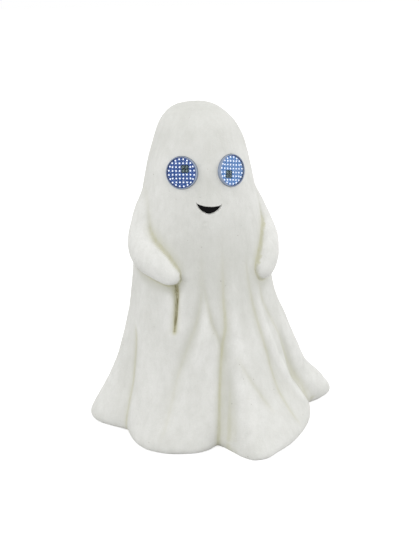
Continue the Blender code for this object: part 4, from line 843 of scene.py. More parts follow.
def hollows(sizes):
    """How far places lie below those round them, near and wide, as two grids over angle and height."""
    turns = np.arange(-180, 180, HOLLOW_STEP[0])
    rises = np.arange(0, FIGURE_HEIGHT * .985, HOLLOW_STEP[1])
    angle, height = np.meshgrid(turns, rises)
    reach = statue_reach(sizes, angle, np.maximum(height, HEM_CURL))

    def blurred(values, steps):
        for _ in range(2):
            total = sum(np.roll(values, step, axis=1) for step in range(-steps, steps + 1))
            values = total / (2 * steps + 1)
            padded = np.pad(values, ((steps, steps), (0, 0)), mode="reflect", reflect_type="odd")
            values = sum(padded[step:step + len(values)] for step in range(2 * steps + 1)) / (2 * steps + 1)
        return values
    return turns, rises, blurred(reach, NEAR_STEPS) - reach, blurred(reach, WIDE_STEPS) - reach


def read_grid(turns, rises, values, angle, height):
    """A grid over angle and height, read between its points."""
    column = (angle - turns[0]) / (turns[1] - turns[0])
    row = np.clip((height - rises[0]) / (rises[1] - rises[0]), 0, len(rises) - 1.001)
    left, low = np.floor(column).astype(int), np.floor(row).astype(int)
    across, up = column - left, row - low
    left %= len(turns)
    right = (left + 1) % len(turns)
    below = values[low, left] * (1 - across) + values[low, right] * across
    above = values[low + 1, left] * (1 - across) + values[low + 1, right] * across
    return below * (1 - up) + above * up


def skin_into(work, grid, apex=None):
    """A closed skin through rings of points, with a flat foot and an apex or a flat top."""
    rings = [[work.verts.new(place) for place in ring] for ring in grid]
    bridge(work, rings)
    work.faces.new(rings[0][::-1])
    if apex is None:
        work.faces.new(rings[-1])
    else:
        top = work.verts.new(apex)
        for one, after in zip(rings[-1], rings[-1][1:] + rings[-1][:1]):
            work.faces.new((one, after, top))


def ring_points(angle, reach, height):
    return np.stack([AXIS.x + reach * np.sin(np.radians(angle)), AXIS.y - reach * np.cos(np.radians(angle)),
                     height + 0 * angle], axis=-1)


def mouth_outline(sizes, inset):
    """The smile, drawn in by an inset: pointed corners, a dipped upper edge and a hint of a point below."""
    half = sizes.mouth_width / 2 - MOUTH_CORNER * inset
    outline = []
    for step in range(MOUTH_STEPS):
        turn = pi * step / MOUTH_STEPS
        dip = (1 - MOUTH_POINT) * sin(turn) + MOUTH_POINT * (1 - abs(cos(turn)))
        outline.append((half * cos(turn), -(sizes.mouth_drop - inset) * dip))
    for step in range(MOUTH_STEPS):
        turn = pi * step / MOUTH_STEPS
        outline.append((-half * cos(turn), -(sizes.mouth_sag + inset) * sin(turn)))
    return outline


def mouth_into(work, sizes, levels):
    """A crescent through (inset, level) outlines, closed at both ends."""
    place = mouth_frame(sizes)
    rings = [[work.verts.new(place @ Vector((x, level, z))) for x, z in mouth_outline(sizes, inset)]
             for inset, level in levels]
    bridge(work, rings)
    for ring in (rings[0], rings[-1]):
        middle = MOUTH_STEPS
        for i in range(middle):
            corners = (ring[i], ring[i + 1], ring[(2 * middle - i - 1) % len(ring)], ring[-i % len(ring)])
            work.faces.new(list(dict.fromkeys(corners)))


def make_statue(sizes):
    """The cast body with its arms, hollow inside, with the eyes' sockets, the mouth and the case's pocket."""
    heights = statue_heights()
    base = run_places(COLUMN_RUNS)
    lean = np.interp(heights / FIGURE_HEIGHT, (0, LEAN_TOP_SHARE, UPRIGHT_SHARE), (0, 1, 0))
    angle = base[None, :] + lean[:, None] * round_curve(LOBE_LEAN, base)[None, :]
    height = np.repeat(heights[:, None], len(base), axis=1)
    reach = statue_reach(sizes, angle, height)
    grid = ring_points(angle, reach, height)
    uneven = unevenness(sizes, grid.reshape(-1, 3)).reshape(reach.shape)
    fade = np.clip(height / HEM_CURL, 0, 1) * np.clip((FIGURE_HEIGHT - height) / .03, 0, 1)
    reach = reach + (uneven - sizes.lump - pit_depths(sizes, angle, height)) * fade
    grid = relaxed(ring_points(angle, reach, height))
    apex = AXIS + Vector((0, 0, FIGURE_HEIGHT))
    statue = new_object("cast_statue", mesh_from("cast_statue", lambda work: skin_into(work, grid, apex)),
                        "Whitewashed cast cement")

    turns = np.arange(-180, 180, CORE_STEP)
    rises = np.append(np.linspace(0, .86, CORE_ROWS), (.92, .965)) * (FIGURE_HEIGHT - WALL)
    rises = np.append(-WALL, rises)
    core_grid = np.array([ring_points(turns, core_reach(sizes, turns, np.full(len(turns), rise)), rise)
                          for rise in rises])
    core = new_object("core", mesh_from("core", lambda work: skin_into(work, core_grid)))

    panel = panel_frame()
    flange = local_box(panel, "battery_case")[1]
    tub = local_box(panel, "chamber_cover")[1]
    pocket = Vector((flange.x + POCKET_AIR, 0, flange.z + POCKET_AIR))

    def block(name, half, levels, radius):
        def build(work):
            plate_into(work, (-half.x, -half.z), (half.x, half.z), radius, [(0, level) for level in levels])
            bmesh.ops.transform(work, matrix=panel, verts=work.verts)
        return new_object(name, mesh_from(name, build))

    seat = block("seat", pocket + Vector((WALL, 0, WALL)), (-SEAT_DEPTH, POCKET_DEPTH + WALL), .003)
    bosses = []
    for side in ("left", "right"):
        place = eye_frame(side)
        ring = local_box(place, side + "_eye_housing")
        def build_boss(work, place=place, ring=ring):
            rod_into(work, place @ Vector((0, ring[0].y - .010, 0)), place @ Vector((0, ring[1].y + WALL, 0)),
                     ring[1].x + WALL, 64)
        bosses.append(new_object(side + "_boss", mesh_from("boss", build_boss)))
    cut(core, [seat] + bosses)

    tools = [core]
    for side in ("left", "right"):
        place = eye_frame(side)
        ring = local_box(place, side + "_eye_housing")
        seal = local_box(place, side + "_eye_seal")
        bore = ring[1].x + .0005
        ledge = seal[0].y - GAP
        def build_socket(work, place=place, bore=bore, ledge=ledge):
            lathe_into(work, [(0, WALL), (bore, WALL), (bore, ledge), (bore - .0055, ledge),
                              (bore - .0055, ledge - .013), (0, ledge - .013)], 96, place)
        tools.append(new_object(side + "_socket", mesh_from("socket", build_socket)))
    tools.append(block("pocket", pocket, (0, POCKET_DEPTH + 2 * WALL), .0025))
    tools.append(block("window", tub + Vector((RUNNING_GAP, 0, RUNNING_GAP)), (-SEAT_DEPTH - WALL, WALL / 2),
                       .001))
    recess = [(.0009, -MOUTH_DEPTH), (.0003, -MOUTH_DEPTH * .4), (0, -.0006), (-.0004, .0002), (-.0004, .004)]
    tools.append(new_object("recess", mesh_from("recess", lambda work: mouth_into(work, sizes, recess))))
    cut(statue, tools)
    mark_hollows(sizes, statue)
    finish_piece(statue, "statue", ("body_shell",), 42)


def mouth_frame(sizes):
    """The frame of the mouth, on the statue: X to the viewer's left, Y out of it and Z up it."""
    rise = FIGURE_HEIGHT * MOUTH_HEIGHT_SHARE
    below = on_statue(sizes, MOUTH_ANGLE, rise - sizes.mouth_drop)
    above = on_statue(sizes, MOUTH_ANGLE, rise + sizes.mouth_drop)
    slope = atan2((below - above).xy.length, 2 * sizes.mouth_drop)
    turn = Matrix.Rotation(radians(MOUTH_ANGLE + 180), 4, "Z")
    place = Matrix.Translation(on_statue(sizes, MOUTH_ANGLE, rise)) @ turn
    return place @ Matrix.Rotation(slope, 4, "X") @ Matrix.Rotation(radians(MOUTH_LEAN), 4, "Y")


def folded_lines(angle, height):
    """How much wash lies along the folds at each place, which also paints the folds' shade."""
    share = height / FIGURE_HEIGHT
    plain = drape_reach(angle, height)
    lines = np.zeros(len(angle))
    for (kind, line), strength in zip(FOLD_SHARES, LINE_WASH_SHARES):
        middle = smooth_curve([(row[0], row[1]) for row in line], share)
        depth = smooth_curve([(row[0], row[2]) for row in line], share)
        depth = np.where((share >= line[0][0]) & (share <= line[-1][0]), depth, 0)
        away = np.radians(signed(angle - middle)) * plain
        half = FOLD_WIDTH * smooth_curve([(row[0], row[3]) for row in line], share)
        width = LINE_WIDTH + (.35 * half if strength == 1 else 0)
        wash = np.exp(-(away / width) ** 2) + HALO_SHARE * np.exp(-(away / HALO_WIDTH) ** 2)
        faded = np.clip(depth / LINE_DEPTH_SHARE, 0, 1)
        if strength < 1:
            faded = faded * np.clip(1.2 - 5 * (share - LINE_TOP_SHARE), .05, 1)
        lines = np.maximum(lines, strength * np.minimum(wash, 1) * faded)
    return lines


def mark_hollows(sizes, statue):
    """Say at each point how much wash has settled there, which also paints the creases' shade, and how much
    painted shade it gets.
    """
    turns, rises, near, wide = hollows(sizes)
    points = np.zeros(len(statue.data.vertices) * 3)
    statue.data.vertices.foreach_get("co", points)
    points = points.reshape(-1, 3) - np.array(AXIS)
    angle = np.degrees(np.arctan2(points[:, 0], -points[:, 1]))
    reach = np.hypot(points[:, 0], points[:, 1])
    skin = np.clip((reach - statue_reach(sizes, angle, points[:, 2]) + .006) / .003, 0, 1)
    bare = draped_reach(sizes, angle, points[:, 2])
    arm = np.clip((reach - bare - .001) / .003, 0, 1)
    chest = np.exp(-(angle / 60) ** 2 - ((points[:, 2] / FIGURE_HEIGHT - CHEST_SHARE) / .14) ** 2)
    near = read_grid(turns, rises, near, angle, points[:, 2])
    wide = read_grid(turns, rises, wide, angle, points[:, 2])
    lines = folded_lines(angle, points[:, 2]) * (1 - arm)
    share = points[:, 2] / FIGURE_HEIGHT
    low = np.clip((.67 - share) / .08, 0, 1)
    # The ochre wash of the near hollows, the folds' lines and the wide hollows, which also paints the shade in
    # them
    crease = np.maximum(.72 * low * np.clip((near - .0003) / .0013, 0, 1), lines)
    crease = crease + (.18 + .22 * np.clip((share - .46) / .04, 0, 1)) * np.clip(wide / .005, 0, 1)
    crease = np.where(lines > .75, crease, np.minimum(crease, .7)) * skin
    # Painted shade: a little everywhere, more in the folds' wide hollows, on the chest, between the eyes and on
    # the crown; none on the arms, which stay paler
    face = np.exp(-(angle / 22) ** 2 - ((share - .8) / .07) ** 2)
    head = .3 - .12 * np.clip((share - .5) / .1, 0, 1) + .4 * np.clip((share - .84) / .08, 0, 1)
    folds = wide / .0026 * np.clip((share - .03) / .2, 0, 1) * np.clip(1 - (share - .5) / .08, .25, 1)
    shade = np.clip(folds + head + .64 * chest + .28 * face, 0, 1) * (1 - arm) * skin
    for name, values in (("crease", crease), ("shade", shade)):
        attribute = statue.data.attributes.new(name, "FLOAT", "POINT")
        attribute.data.foreach_set("value", np.clip(values, 0, 1).astype(np.float32))


def make_mouth(sizes):
    """The black smile: a dished layer of paint on the floor of its recess."""
    levels = [(.0012, -MOUTH_DEPTH + GAP), (.0012, -MOUTH_DEPTH + .0009), (.0022, -MOUTH_DEPTH + .0013),
              (.0036, -MOUTH_DEPTH + .0014)]

    def build(work):
        mouth_into(work, sizes, levels)
    mouth = new_object("painted_mouth", mesh_from("painted_mouth", build), "Flat black paint")
    finish_piece(mouth, "statue", ("mouth_inlay",))


# The eyes

EYE_STEPS = 96
RING_DIODES = 20
GRID_DIODES = 6
RING_PITCHES = 3.6
CORNER_PITCHES = 3.2
PUPIL_PITCHES = 1.25
BOARD_TURNS = {"left": 5, "right": -11}
GRIP_BARS = 4
FONT_CAP_SHARE = 0.73


def make_eye(sizes, side):
    """One dot-matrix eye: its ring, clear cover, board, and diodes in a ring round a grid."""
    place = eye_frame(side)
    ring_low, ring_high = local_box(place, side + "_eye_housing")
    lens_low, lens_high = local_box(place, side + "_eye_lens")
    array_low, array_high = local_box(place, side + "_led_array")
    outer, bore = ring_high.x, lens_high.x + GAP
    top, back = ring_high.y, lens_low.y
    soft = .0006

    def build_ring(work):
        lathe_into(work, [(bore, top - soft), (bore + soft * .3, top - soft * .3), (bore + soft, top),
                          (outer - soft, top), (outer - soft * .3, top - soft * .3), (outer, top - soft),
                          (outer, ring_low.y), (outer - .006, ring_low.y), (outer - .006, ring_low.y + .0016),
                          (bore - .0012, ring_low.y + .0016), (bore - .0012, back - .0026),
                          (bore, back - .0026)], EYE_STEPS, place)
    ring = new_object(side + "_eye_ring", mesh_from(side + "_eye_ring", build_ring), "Satin grey ABS")
    finish_piece(ring, "statue", (side + "_eye_housing",))

    lens_radius = lens_high.x

    def build_cover(work):
        under = lens_high.y - .0012
        lathe_into(work, [(0, lens_high.y), (lens_radius * .5, lens_high.y - .00002),
                          (lens_radius - .0005, lens_high.y - .0001), (lens_radius, lens_high.y - .0005),
                          (lens_radius, lens_low.y), (lens_radius - .001, lens_low.y),
                          (lens_radius - .001, under), (0, under)], EYE_STEPS, place)
    cover = new_object(side + "_eye_cover", mesh_from(side + "_eye_cover", build_cover), "Clear acrylic")
    finish_piece(cover, "statue", (side + "_eye_lens",))

    pupil = Vector((-1, 0, 1)) if side == "left" else Vector((1, 0, -1))
    board = place @ Matrix.Rotation(radians(BOARD_TURNS[side]), 4, "Y")
    pupil_place = board @ Matrix.Translation((pupil.x * sizes.diode_pitch, array_high.y,
                                              pupil.z * sizes.diode_pitch))
    # The mask round the diodes glows blue as if lit by them: a painted glow, painted brighter on the right eye
    # than on the left
    glow = "Glowing mask, " + side
    make_glow(glow, "#3A5A9A" if side == "left" else "#6089C1", 1.0, .75, pupil_place,
              sizes.diode_pitch)

    def build_mask(work):
        lathe_into(work, [(0, array_low.y), (array_high.x, array_low.y), (array_high.x, array_high.y - .0005),
                          (0, array_high.y - .0005)], EYE_STEPS)
    mask_mesh = mesh_from(side + "_led_array", build_mask)

    def build_chip(work):
        radius = sizes.diode_size / 2
        lathe_into(work, [(0, -.0002), (radius, -.0002), (radius, .0001), (radius * .85, .0003),
                          (radius * .5, .00042), (0, .00046)], 12)
    chip = new_object("chip", mesh_from("chip", build_chip))
    unlit = Vector((pupil.x * sizes.diode_pitch, 0, pupil.z * sizes.diode_pitch))

    def build_tree(tree, entry):
        circle = add_node(tree, "GeometryNodeMeshCircle", {"Vertices": RING_DIODES,
                                                               "Radius": entry["Ring radius"]})
        stand = add_node(tree, "GeometryNodeTransform", {"Geometry": circle.outputs[0],
                                                         "Rotation": (pi / 2, radians(180 / RING_DIODES), 0)})
        across = add_node(tree, "ShaderNodeMath", {0: entry["Pitch"], 1: GRID_DIODES - 1},
                          operation="MULTIPLY")
        grid = add_node(tree, "GeometryNodeMeshGrid", {
            "Size X": across.outputs[0], "Size Y": across.outputs[0], "Vertices X": GRID_DIODES,
            "Vertices Y": GRID_DIODES})
        upright = add_node(tree, "GeometryNodeTransform", {"Geometry": grid.outputs[0],
                                                           "Rotation": (pi / 2, 0, 0)})
        where = add_node(tree, "GeometryNodeInputPosition")
        far = add_node(tree, "ShaderNodeVectorMath", {0: where.outputs[0]}, operation="LENGTH")
        corner = add_node(tree, "ShaderNodeMath", {0: entry["Pitch"], 1: CORNER_PITCHES},
                          operation="MULTIPLY")
        outside = add_node(tree, "FunctionNodeCompare", {0: far.outputs["Value"], 1: corner.outputs[0]},
                           operation="GREATER_THAN")
        trimmed = add_node(tree, "GeometryNodeDeleteGeometry", {"Geometry": upright.outputs[0],
                                                                "Selection": outside.outputs[0]})
        both = add_node(tree, "GeometryNodeJoinGeometry")
        tree.links.new(trimmed.outputs[0], both.inputs[0])
        tree.links.new(stand.outputs[0], both.inputs[0])
        shape = add_node(tree, "GeometryNodeObjectInfo", {"Object": entry["Diode"]})
        placed = add_node(tree, "GeometryNodeInstanceOnPoints", {"Points": both.outputs[0],
                                                                 "Instance": shape.outputs["Geometry"]})
        real = add_node(tree, "GeometryNodeRealizeInstances", {"Geometry": placed.outputs[0]})
        lit = add_node(tree, "GeometryNodeSetMaterial", {
            "Geometry": real.outputs[0], "Material": bpy.data.materials["Lit white diode"]})
        away = add_node(tree, "ShaderNodeVectorMath", {0: where.outputs[0], 1: entry["Pupil"]},
                        operation="DISTANCE")
        near = add_node(tree, "FunctionNodeCompare", {0: away.outputs["Value"], 1: entry["Pupil reach"]},
                        operation="LESS_THAN")
        dark = add_node(tree, "GeometryNodeSetMaterial", {
            "Geometry": lit.outputs[0], "Selection": near.outputs[0],
            "Material": bpy.data.materials["Unlit diode"]})
        raised = add_node(tree, "GeometryNodeTransform", {"Geometry": dark.outputs[0]})
        tree.links.new(entry["Raise"], raised.inputs["Translation"])
        whole = add_node(tree, "GeometryNodeJoinGeometry")
        tree.links.new(raised.outputs[0], whole.inputs[0])
        tree.links.new(entry["Geometry"], whole.inputs[0])
        return whole.outputs[0]
    inputs = {
        "Pitch": ("NodeSocketFloat", sizes.diode_pitch),
        "Ring radius": ("NodeSocketFloat", RING_PITCHES * sizes.diode_pitch),
        "Diode": ("NodeSocketObject", chip),
        "Pupil": ("NodeSocketVector", tuple(unlit)),
        "Pupil reach": ("NodeSocketFloat", PUPIL_PITCHES * sizes.diode_pitch),
        "Raise": ("NodeSocketVector", (0, array_high.y - .0005, 0)),
    }
    array = grown(side + "_diodes", mask_mesh, inputs, build_tree, glow)
    bpy.data.objects.remove(chip, do_unlink=True)
    array.data.transform(board)
    finish_piece(array, "statue", (side + "_led_array",))


# The battery case

def case_levels(panel):
    """Levels of the back and front of the flange, from the gasket and the seal that it lies between."""
    return local_box(panel, "case_gasket")[1].y + GAP, local_box(panel, "door_seal")[0].y - GAP


def hinge_line(panel):
    """Middle and half length of the hinge's pin, and its radius."""
    low, high = local_box(panel, "hinge_pin")
    return (low + high) / 2, (high.x - low.x) / 2, (high.z - low.z) / 2


def make_case(sizes):
    """The battery case: flange, bay with cradles, chamber, dished switch slot, knuckles and letters."""
    panel = panel_frame()
    back, front = case_levels(panel)
    case_low, case_high = local_box(panel, "battery_case")
    tub = local_box(panel, "chamber_cover")[1]
    cells = [local_box(panel, f"cell_{number}") for number in (1, 2, 3)]
    screws = [local_box(panel, f"case_screw_{number}") for number in (1, 2, 3, 4)]
    slider_low, slider_high = local_box(panel, "switch_slider")
    door_screw = local_box(panel, "door_screw")
    knuckle, pin_half, pin_radius = hinge_line(panel)
    barrel = case_high.y - knuckle.y
    barrel_in = pin_half - sizes.case_knuckle
    bay_x = tub.x - sizes.case_wall
    bay_low, bay_high = sizes.case_wall - tub.z, cells[0][1].z + sizes.cell_air
    floor = cells[0][0].y - sizes.floor_air
    chamber_low, chamber_high = bay_high + sizes.case_wall, tub.z - sizes.case_wall
    slider_z = (slider_low.z + slider_high.z) / 2
    slot_x = sizes.switch_travel + RUNNING_GAP
    slot_z = (slider_high.z - slider_low.z) / 2 + RUNNING_GAP
    dish = (slot_x + .0032, slot_z + .0026)
    ends = [(side * barrel_in, side * pin_half) for side in (-1, 1)]

    def webs(work):
        for one, other in ends:
            plate_into(work, (min(one, other), knuckle.z - barrel * .6),
                       (max(one, other), knuckle.z + barrel * .6), GAP,
                       [(0, back + .001), (0, knuckle.y)], 1)

    def cradles(work):
        for one, other in zip(cells, cells[1:]):
            middle = (one[0].z + other[1].z) / 2
            for x in (-.016, 0, .016):
                plate_into(work, (x - .0012, middle - .0042), (x + .0012, middle + .0042), GAP,
                           [(0, floor - sizes.case_wall / 2), (0, floor + .0048)], 1)

    def cell_rooms(work):
        for low, high in cells:
            middle = (low + high) / 2
            rod_into(work, (-bay_x + .002, middle.y, middle.z), (bay_x - .002, middle.y, middle.z),
                     (high.z - low.z) / 2 + sizes.floor_air / 2, 48)

    def holes(work):
        for low, high in screws:
            middle = (low + high) / 2
            rod_into(work, (middle.x, back - .002, middle.z), (middle.x, front + .002, middle.z), .0018, 24)
        middle = (door_screw[0] + door_screw[1]) / 2
        rod_into(work, (middle.x, back - .002, middle.z), (middle.x, front + .002, middle.z), .00205, 24)
    slot = [(0, back - .002), (0, front - .0011), (-.0003, front - .0008), (-.0003, front + .001)]
    steps = [
        ("UNION", plate((-case_high.x, -case_high.z), (case_high.x, case_high.z), .0045,
                        soft_levels(back, front, .0005), 6)),
        ("UNION", plate((-tub.x, -tub.z), (tub.x, tub.z), .0022,
                        [(.0008, case_low.y), (.0002, case_low.y + .0006), (0, case_low.y + .0015),
                         (0, back + .001)])),
        ("UNION", webs),
        ("UNION", rods([((one, knuckle.y, knuckle.z), (other, knuckle.y, knuckle.z)) for one, other in ends],
                       barrel, 32)),
        ("DIFFERENCE", plate((-bay_x, bay_low), (bay_x, bay_high), .0012, [(0, floor), (0, front + .001)])),
        ("DIFFERENCE", plate((-bay_x, chamber_low), (bay_x, chamber_high), .0012,
                             [(0, case_low.y - .002), (0, back)])),
        ("DIFFERENCE", plate((-slot_x, slider_z - slot_z), (slot_x, slider_z + slot_z), .0004, slot, 2)),
        ("DIFFERENCE", plate((-dish[0], slider_z - dish[1]), (dish[0], slider_z + dish[1]), .0022,
                             [(.0012, front - .0008), (.0008, front - .0006), (0, front + .0004)], 6)),
        ("UNION", cradles), ("DIFFERENCE", cell_rooms), ("DIFFERENCE", holes),
        ("DIFFERENCE", rods([((-pin_half - .002, knuckle.y, knuckle.z),
                              (pin_half + .002, knuckle.y, knuckle.z))], pin_radius + GAP)),
    ]
    case = moulding("moulded_battery_case", "Textured black ABS", panel, steps, .00025)
    marks = []
    for words, x in (("ON", -dish[0] - .0062), ("OFF", dish[0] + .0062)):
        place = panel @ Matrix.Translation((x, front, slider_z))
        marks.append(lettering(words, .0030, place, .0003, "White pad print"))
    add_loose(case, marks)
    finish_piece(case, "statue", ("battery_case",))

    def pin(work):
        end = Matrix.Translation((knuckle.x - pin_half, knuckle.y, knuckle.z))
        place = end @ Matrix.Rotation(-pi / 2, 4, "Z")
        length = 2 * pin_half
        lathe_into(work, [(0, 0), (pin_radius * .8, 0), (pin_radius, .0003), (pin_radius, length - .0003),
                          (pin_radius * .8, length), (0, length)], 24, place)
    shaft = moulding("hinge_shaft", "Zinc-plated steel", panel, [("UNION", pin)], 0)
    finish_piece(shaft, "statue", ("hinge_pin",))


def make_door(sizes):
    """The battery door with its knuckle, grip bars, inside ribs and rubber seal."""
    panel = panel_frame()
    low, high = local_box(panel, "battery_door")
    seal_low, seal_high = local_box(panel, "door_seal")
    screw_low, screw_high = local_box(panel, "door_screw")
    knuckle, pin_half, pin_radius = hinge_line(panel)
    cells = [local_box(panel, f"cell_{number}") for number in (1, 2, 3)]
    barrel = high.y - knuckle.y
    half = pin_half - sizes.case_knuckle - GAP
    inner, outer = seal_high.y + GAP, screw_high.y - .0014 - GAP
    top = knuckle.z - barrel - RUNNING_GAP
    screw_z = (screw_low.z + screw_high.z) / 2

    def web(work):
        plate_into(work, (-half, top - .003), (half, knuckle.z), GAP, [(0, inner), (0, outer)], 1)

    def grips(work):
        for step in range(GRIP_BARS):
            z = screw_z + .0085 + step * .0026
            plate_into(work, (-.011, z - .0006), (.011, z + .0006), .0006,
                       [(0, outer - .0004), (0, outer + .0002), (.0002, outer + .0004)], 4)

    panel_low = screw_z + .0085 + GRIP_BARS * .0026 + .001

    def frame_line(work):
        plate_into(work, (-high.x + .004, panel_low), (high.x - .004, top - .0035), .003,
                   [(0, outer - .00035), (0, outer + .001)], 6)

    def island(work):
        plate_into(work, (-high.x + .0048, panel_low + .0008), (high.x - .0048, top - .0043), .0022,
                   [(0, outer - .0008), (0, outer)], 6)

    rib_levels = [(0, inner - .0011), (0, inner + .0005)]

    def level_ribs(work):
        reach = seal_high.x - .0045
        for z in (cells[0][0].z - .0004, cells[1][0].z - .0004):
            plate_into(work, (-reach, z - .0006), (reach, z + .0006), GAP, rib_levels, 1)

    def upright_ribs(work):
        for x in (-.017, 0, .017):
            plate_into(work, (x - .0006, seal_low.z + .004), (x + .0006, seal_high.z - .004), GAP,
                       rib_levels, 1)

    def screw_seat(work):
        middle = (screw_low.x + screw_high.x) / 2
        lathe_into(work, [(0, outer + .001), (.0036, outer + .001), (.0034, outer - .0003),
                          (.00155, outer - .0003), (.00155, inner - .001), (0, inner - .001)], 40,
                   Matrix.Translation((middle, 0, screw_z)))
    steps = [
        ("UNION", plate((low.x, low.z), (high.x, top), .0026, soft_levels(inner, outer, .0004), 6)),
        ("DIFFERENCE", frame_line), ("UNION", island), ("UNION", web),
        ("UNION", rods([((-half, knuckle.y, knuckle.z), (half, knuckle.y, knuckle.z))], barrel, 32)),
        ("UNION", grips), ("UNION", level_ribs), ("UNION", upright_ribs), ("DIFFERENCE", screw_seat),
        ("DIFFERENCE", rods([((-half - .002, knuckle.y, knuckle.z), (half + .002, knuckle.y, knuckle.z))],
                            pin_radius + GAP)),
    ]
    door = moulding("moulded_battery_door", "Textured black ABS", panel, steps, .0002)
    finish_piece(door, "battery_door", ("battery_door",))

    width = .0018
    inside = Vector((seal_high.x - width, 0, 0))

    def lip(work):
        plate_into(work, (-inside.x, seal_low.z + width), (inside.x, seal_high.z - width), .0016,
                   [(0, seal_low.y - .002), (0, seal_high.y + .002)], 6)
    seal = moulding("rubber_door_seal", "Black rubber", panel, [
        ("UNION", plate((seal_low.x, seal_low.z), (seal_high.x, seal_high.z), .003,
                        [(.0006, seal_low.y), (.0002, seal_low.y + .0002), (0, seal_low.y + .0006),
                         (0, seal_high.y)], 6)),
        ("DIFFERENCE", lip)], .0003)
    finish_piece(seal, "battery_door", ("door_seal",))


def screw_mesh(name, head, shank, slot, cross):
    """A pan-headed screw along Y, its head's underside at 0, with a slot or a cross in its head."""
    head_radius, head_height = head
    shank_radius, length = shank
    profile = [(0, head_height), (head_radius * .55, head_height - .00008),
               (head_radius * .86, head_height - .0003), (head_radius, head_height * .45),
               (head_radius, .0001), (head_radius - .0001, 0), (shank_radius, 0)]
    turns = max(2, int(length / .0011))
    for turn in range(turns):
        y = -.0009 - (length - .0014) * turn / turns
        profile += [(shank_radius - .00022, y), (shank_radius, y - .0004)]
    profile += [(shank_radius * .7, -length + .0002), (0, -length)]

    def body(work):
        lathe_into(work, profile, 24)

    def mark(across, up):
        levels = [(0, head_height - .0008), (0, head_height + .001)]
        build = plate((-across, -up), (across, up), GAP / 10, levels, 1)
        return new_object(name + "_mark", mesh_from(name, build))
    reach = head_radius * (.6 if cross else 1.1)
    thing = new_object(name, mesh_from(name, body))
    cut(thing, [mark(reach, slot / 2)])
    if cross:
        cut(thing, [mark(slot / 2, reach)])
    return thing


def make_screws():
    """The four screws of the case, set by a tree on four points, and the door's captive screw."""
    panel = panel_frame()
    boxes = [local_box(panel, f"case_screw_{number}") for number in (1, 2, 3, 4)]
    under = case_levels(panel)[1] + GAP
    head_height = boxes[0][1].y - under
    head_radius = (boxes[0][1].x - boxes[0][0].x) / 2
    shape = screw_mesh("case_screw", (head_radius, head_height), (.0015, under - boxes[0][0].y), .0007, True)
    points = bpy.data.meshes.new("screw_points")
    points.from_pydata([((low.x + high.x) / 2, under, (low.z + high.z) / 2) for low, high in boxes], [], [])

    def build_tree(tree, entry):
        source = add_node(tree, "GeometryNodeObjectInfo", {"Object": entry["Screw"]})
        spin = add_node(tree, "FunctionNodeRandomValue", {"Min": (0, 0, 0), "Max": (0, 6.28, 0), "Seed": 4},
                        data_type="FLOAT_VECTOR")
        placed = add_node(tree, "GeometryNodeInstanceOnPoints", {
            "Points": entry["Geometry"], "Instance": source.outputs["Geometry"], "Rotation": spin.outputs[0]})
        real = add_node(tree, "GeometryNodeRealizeInstances", {"Geometry": placed.outputs[0]})
        steel = add_node(tree, "GeometryNodeSetMaterial", {
            "Geometry": real.outputs[0], "Material": bpy.data.materials["Zinc-plated steel"]})
        return steel.outputs[0]
    screws = grown("case_screws", points, {"Screw": ("NodeSocketObject", shape)}, build_tree)
    bpy.data.objects.remove(shape, do_unlink=True)
    screws.data.transform(panel)
    finish_piece(screws, "statue", [f"case_screw_{number}" for number in (1, 2, 3, 4)], 30)

    low, high = local_box(panel, "door_screw")
    head_height = .0014
    captive = screw_mesh("captive_screw", ((high.x - low.x) / 2, head_height),
                         (.00125, high.y - head_height - low.y), .0008, False)
    captive.data.transform(panel @ Matrix.Translation(
        ((low.x + high.x) / 2, high.y - head_height, (low.z + high.z) / 2)))
    captive.data.materials.append(bpy.data.materials["Zinc-plated steel"])
    finish_piece(captive, "door_screw", ("door_screw",), 30)


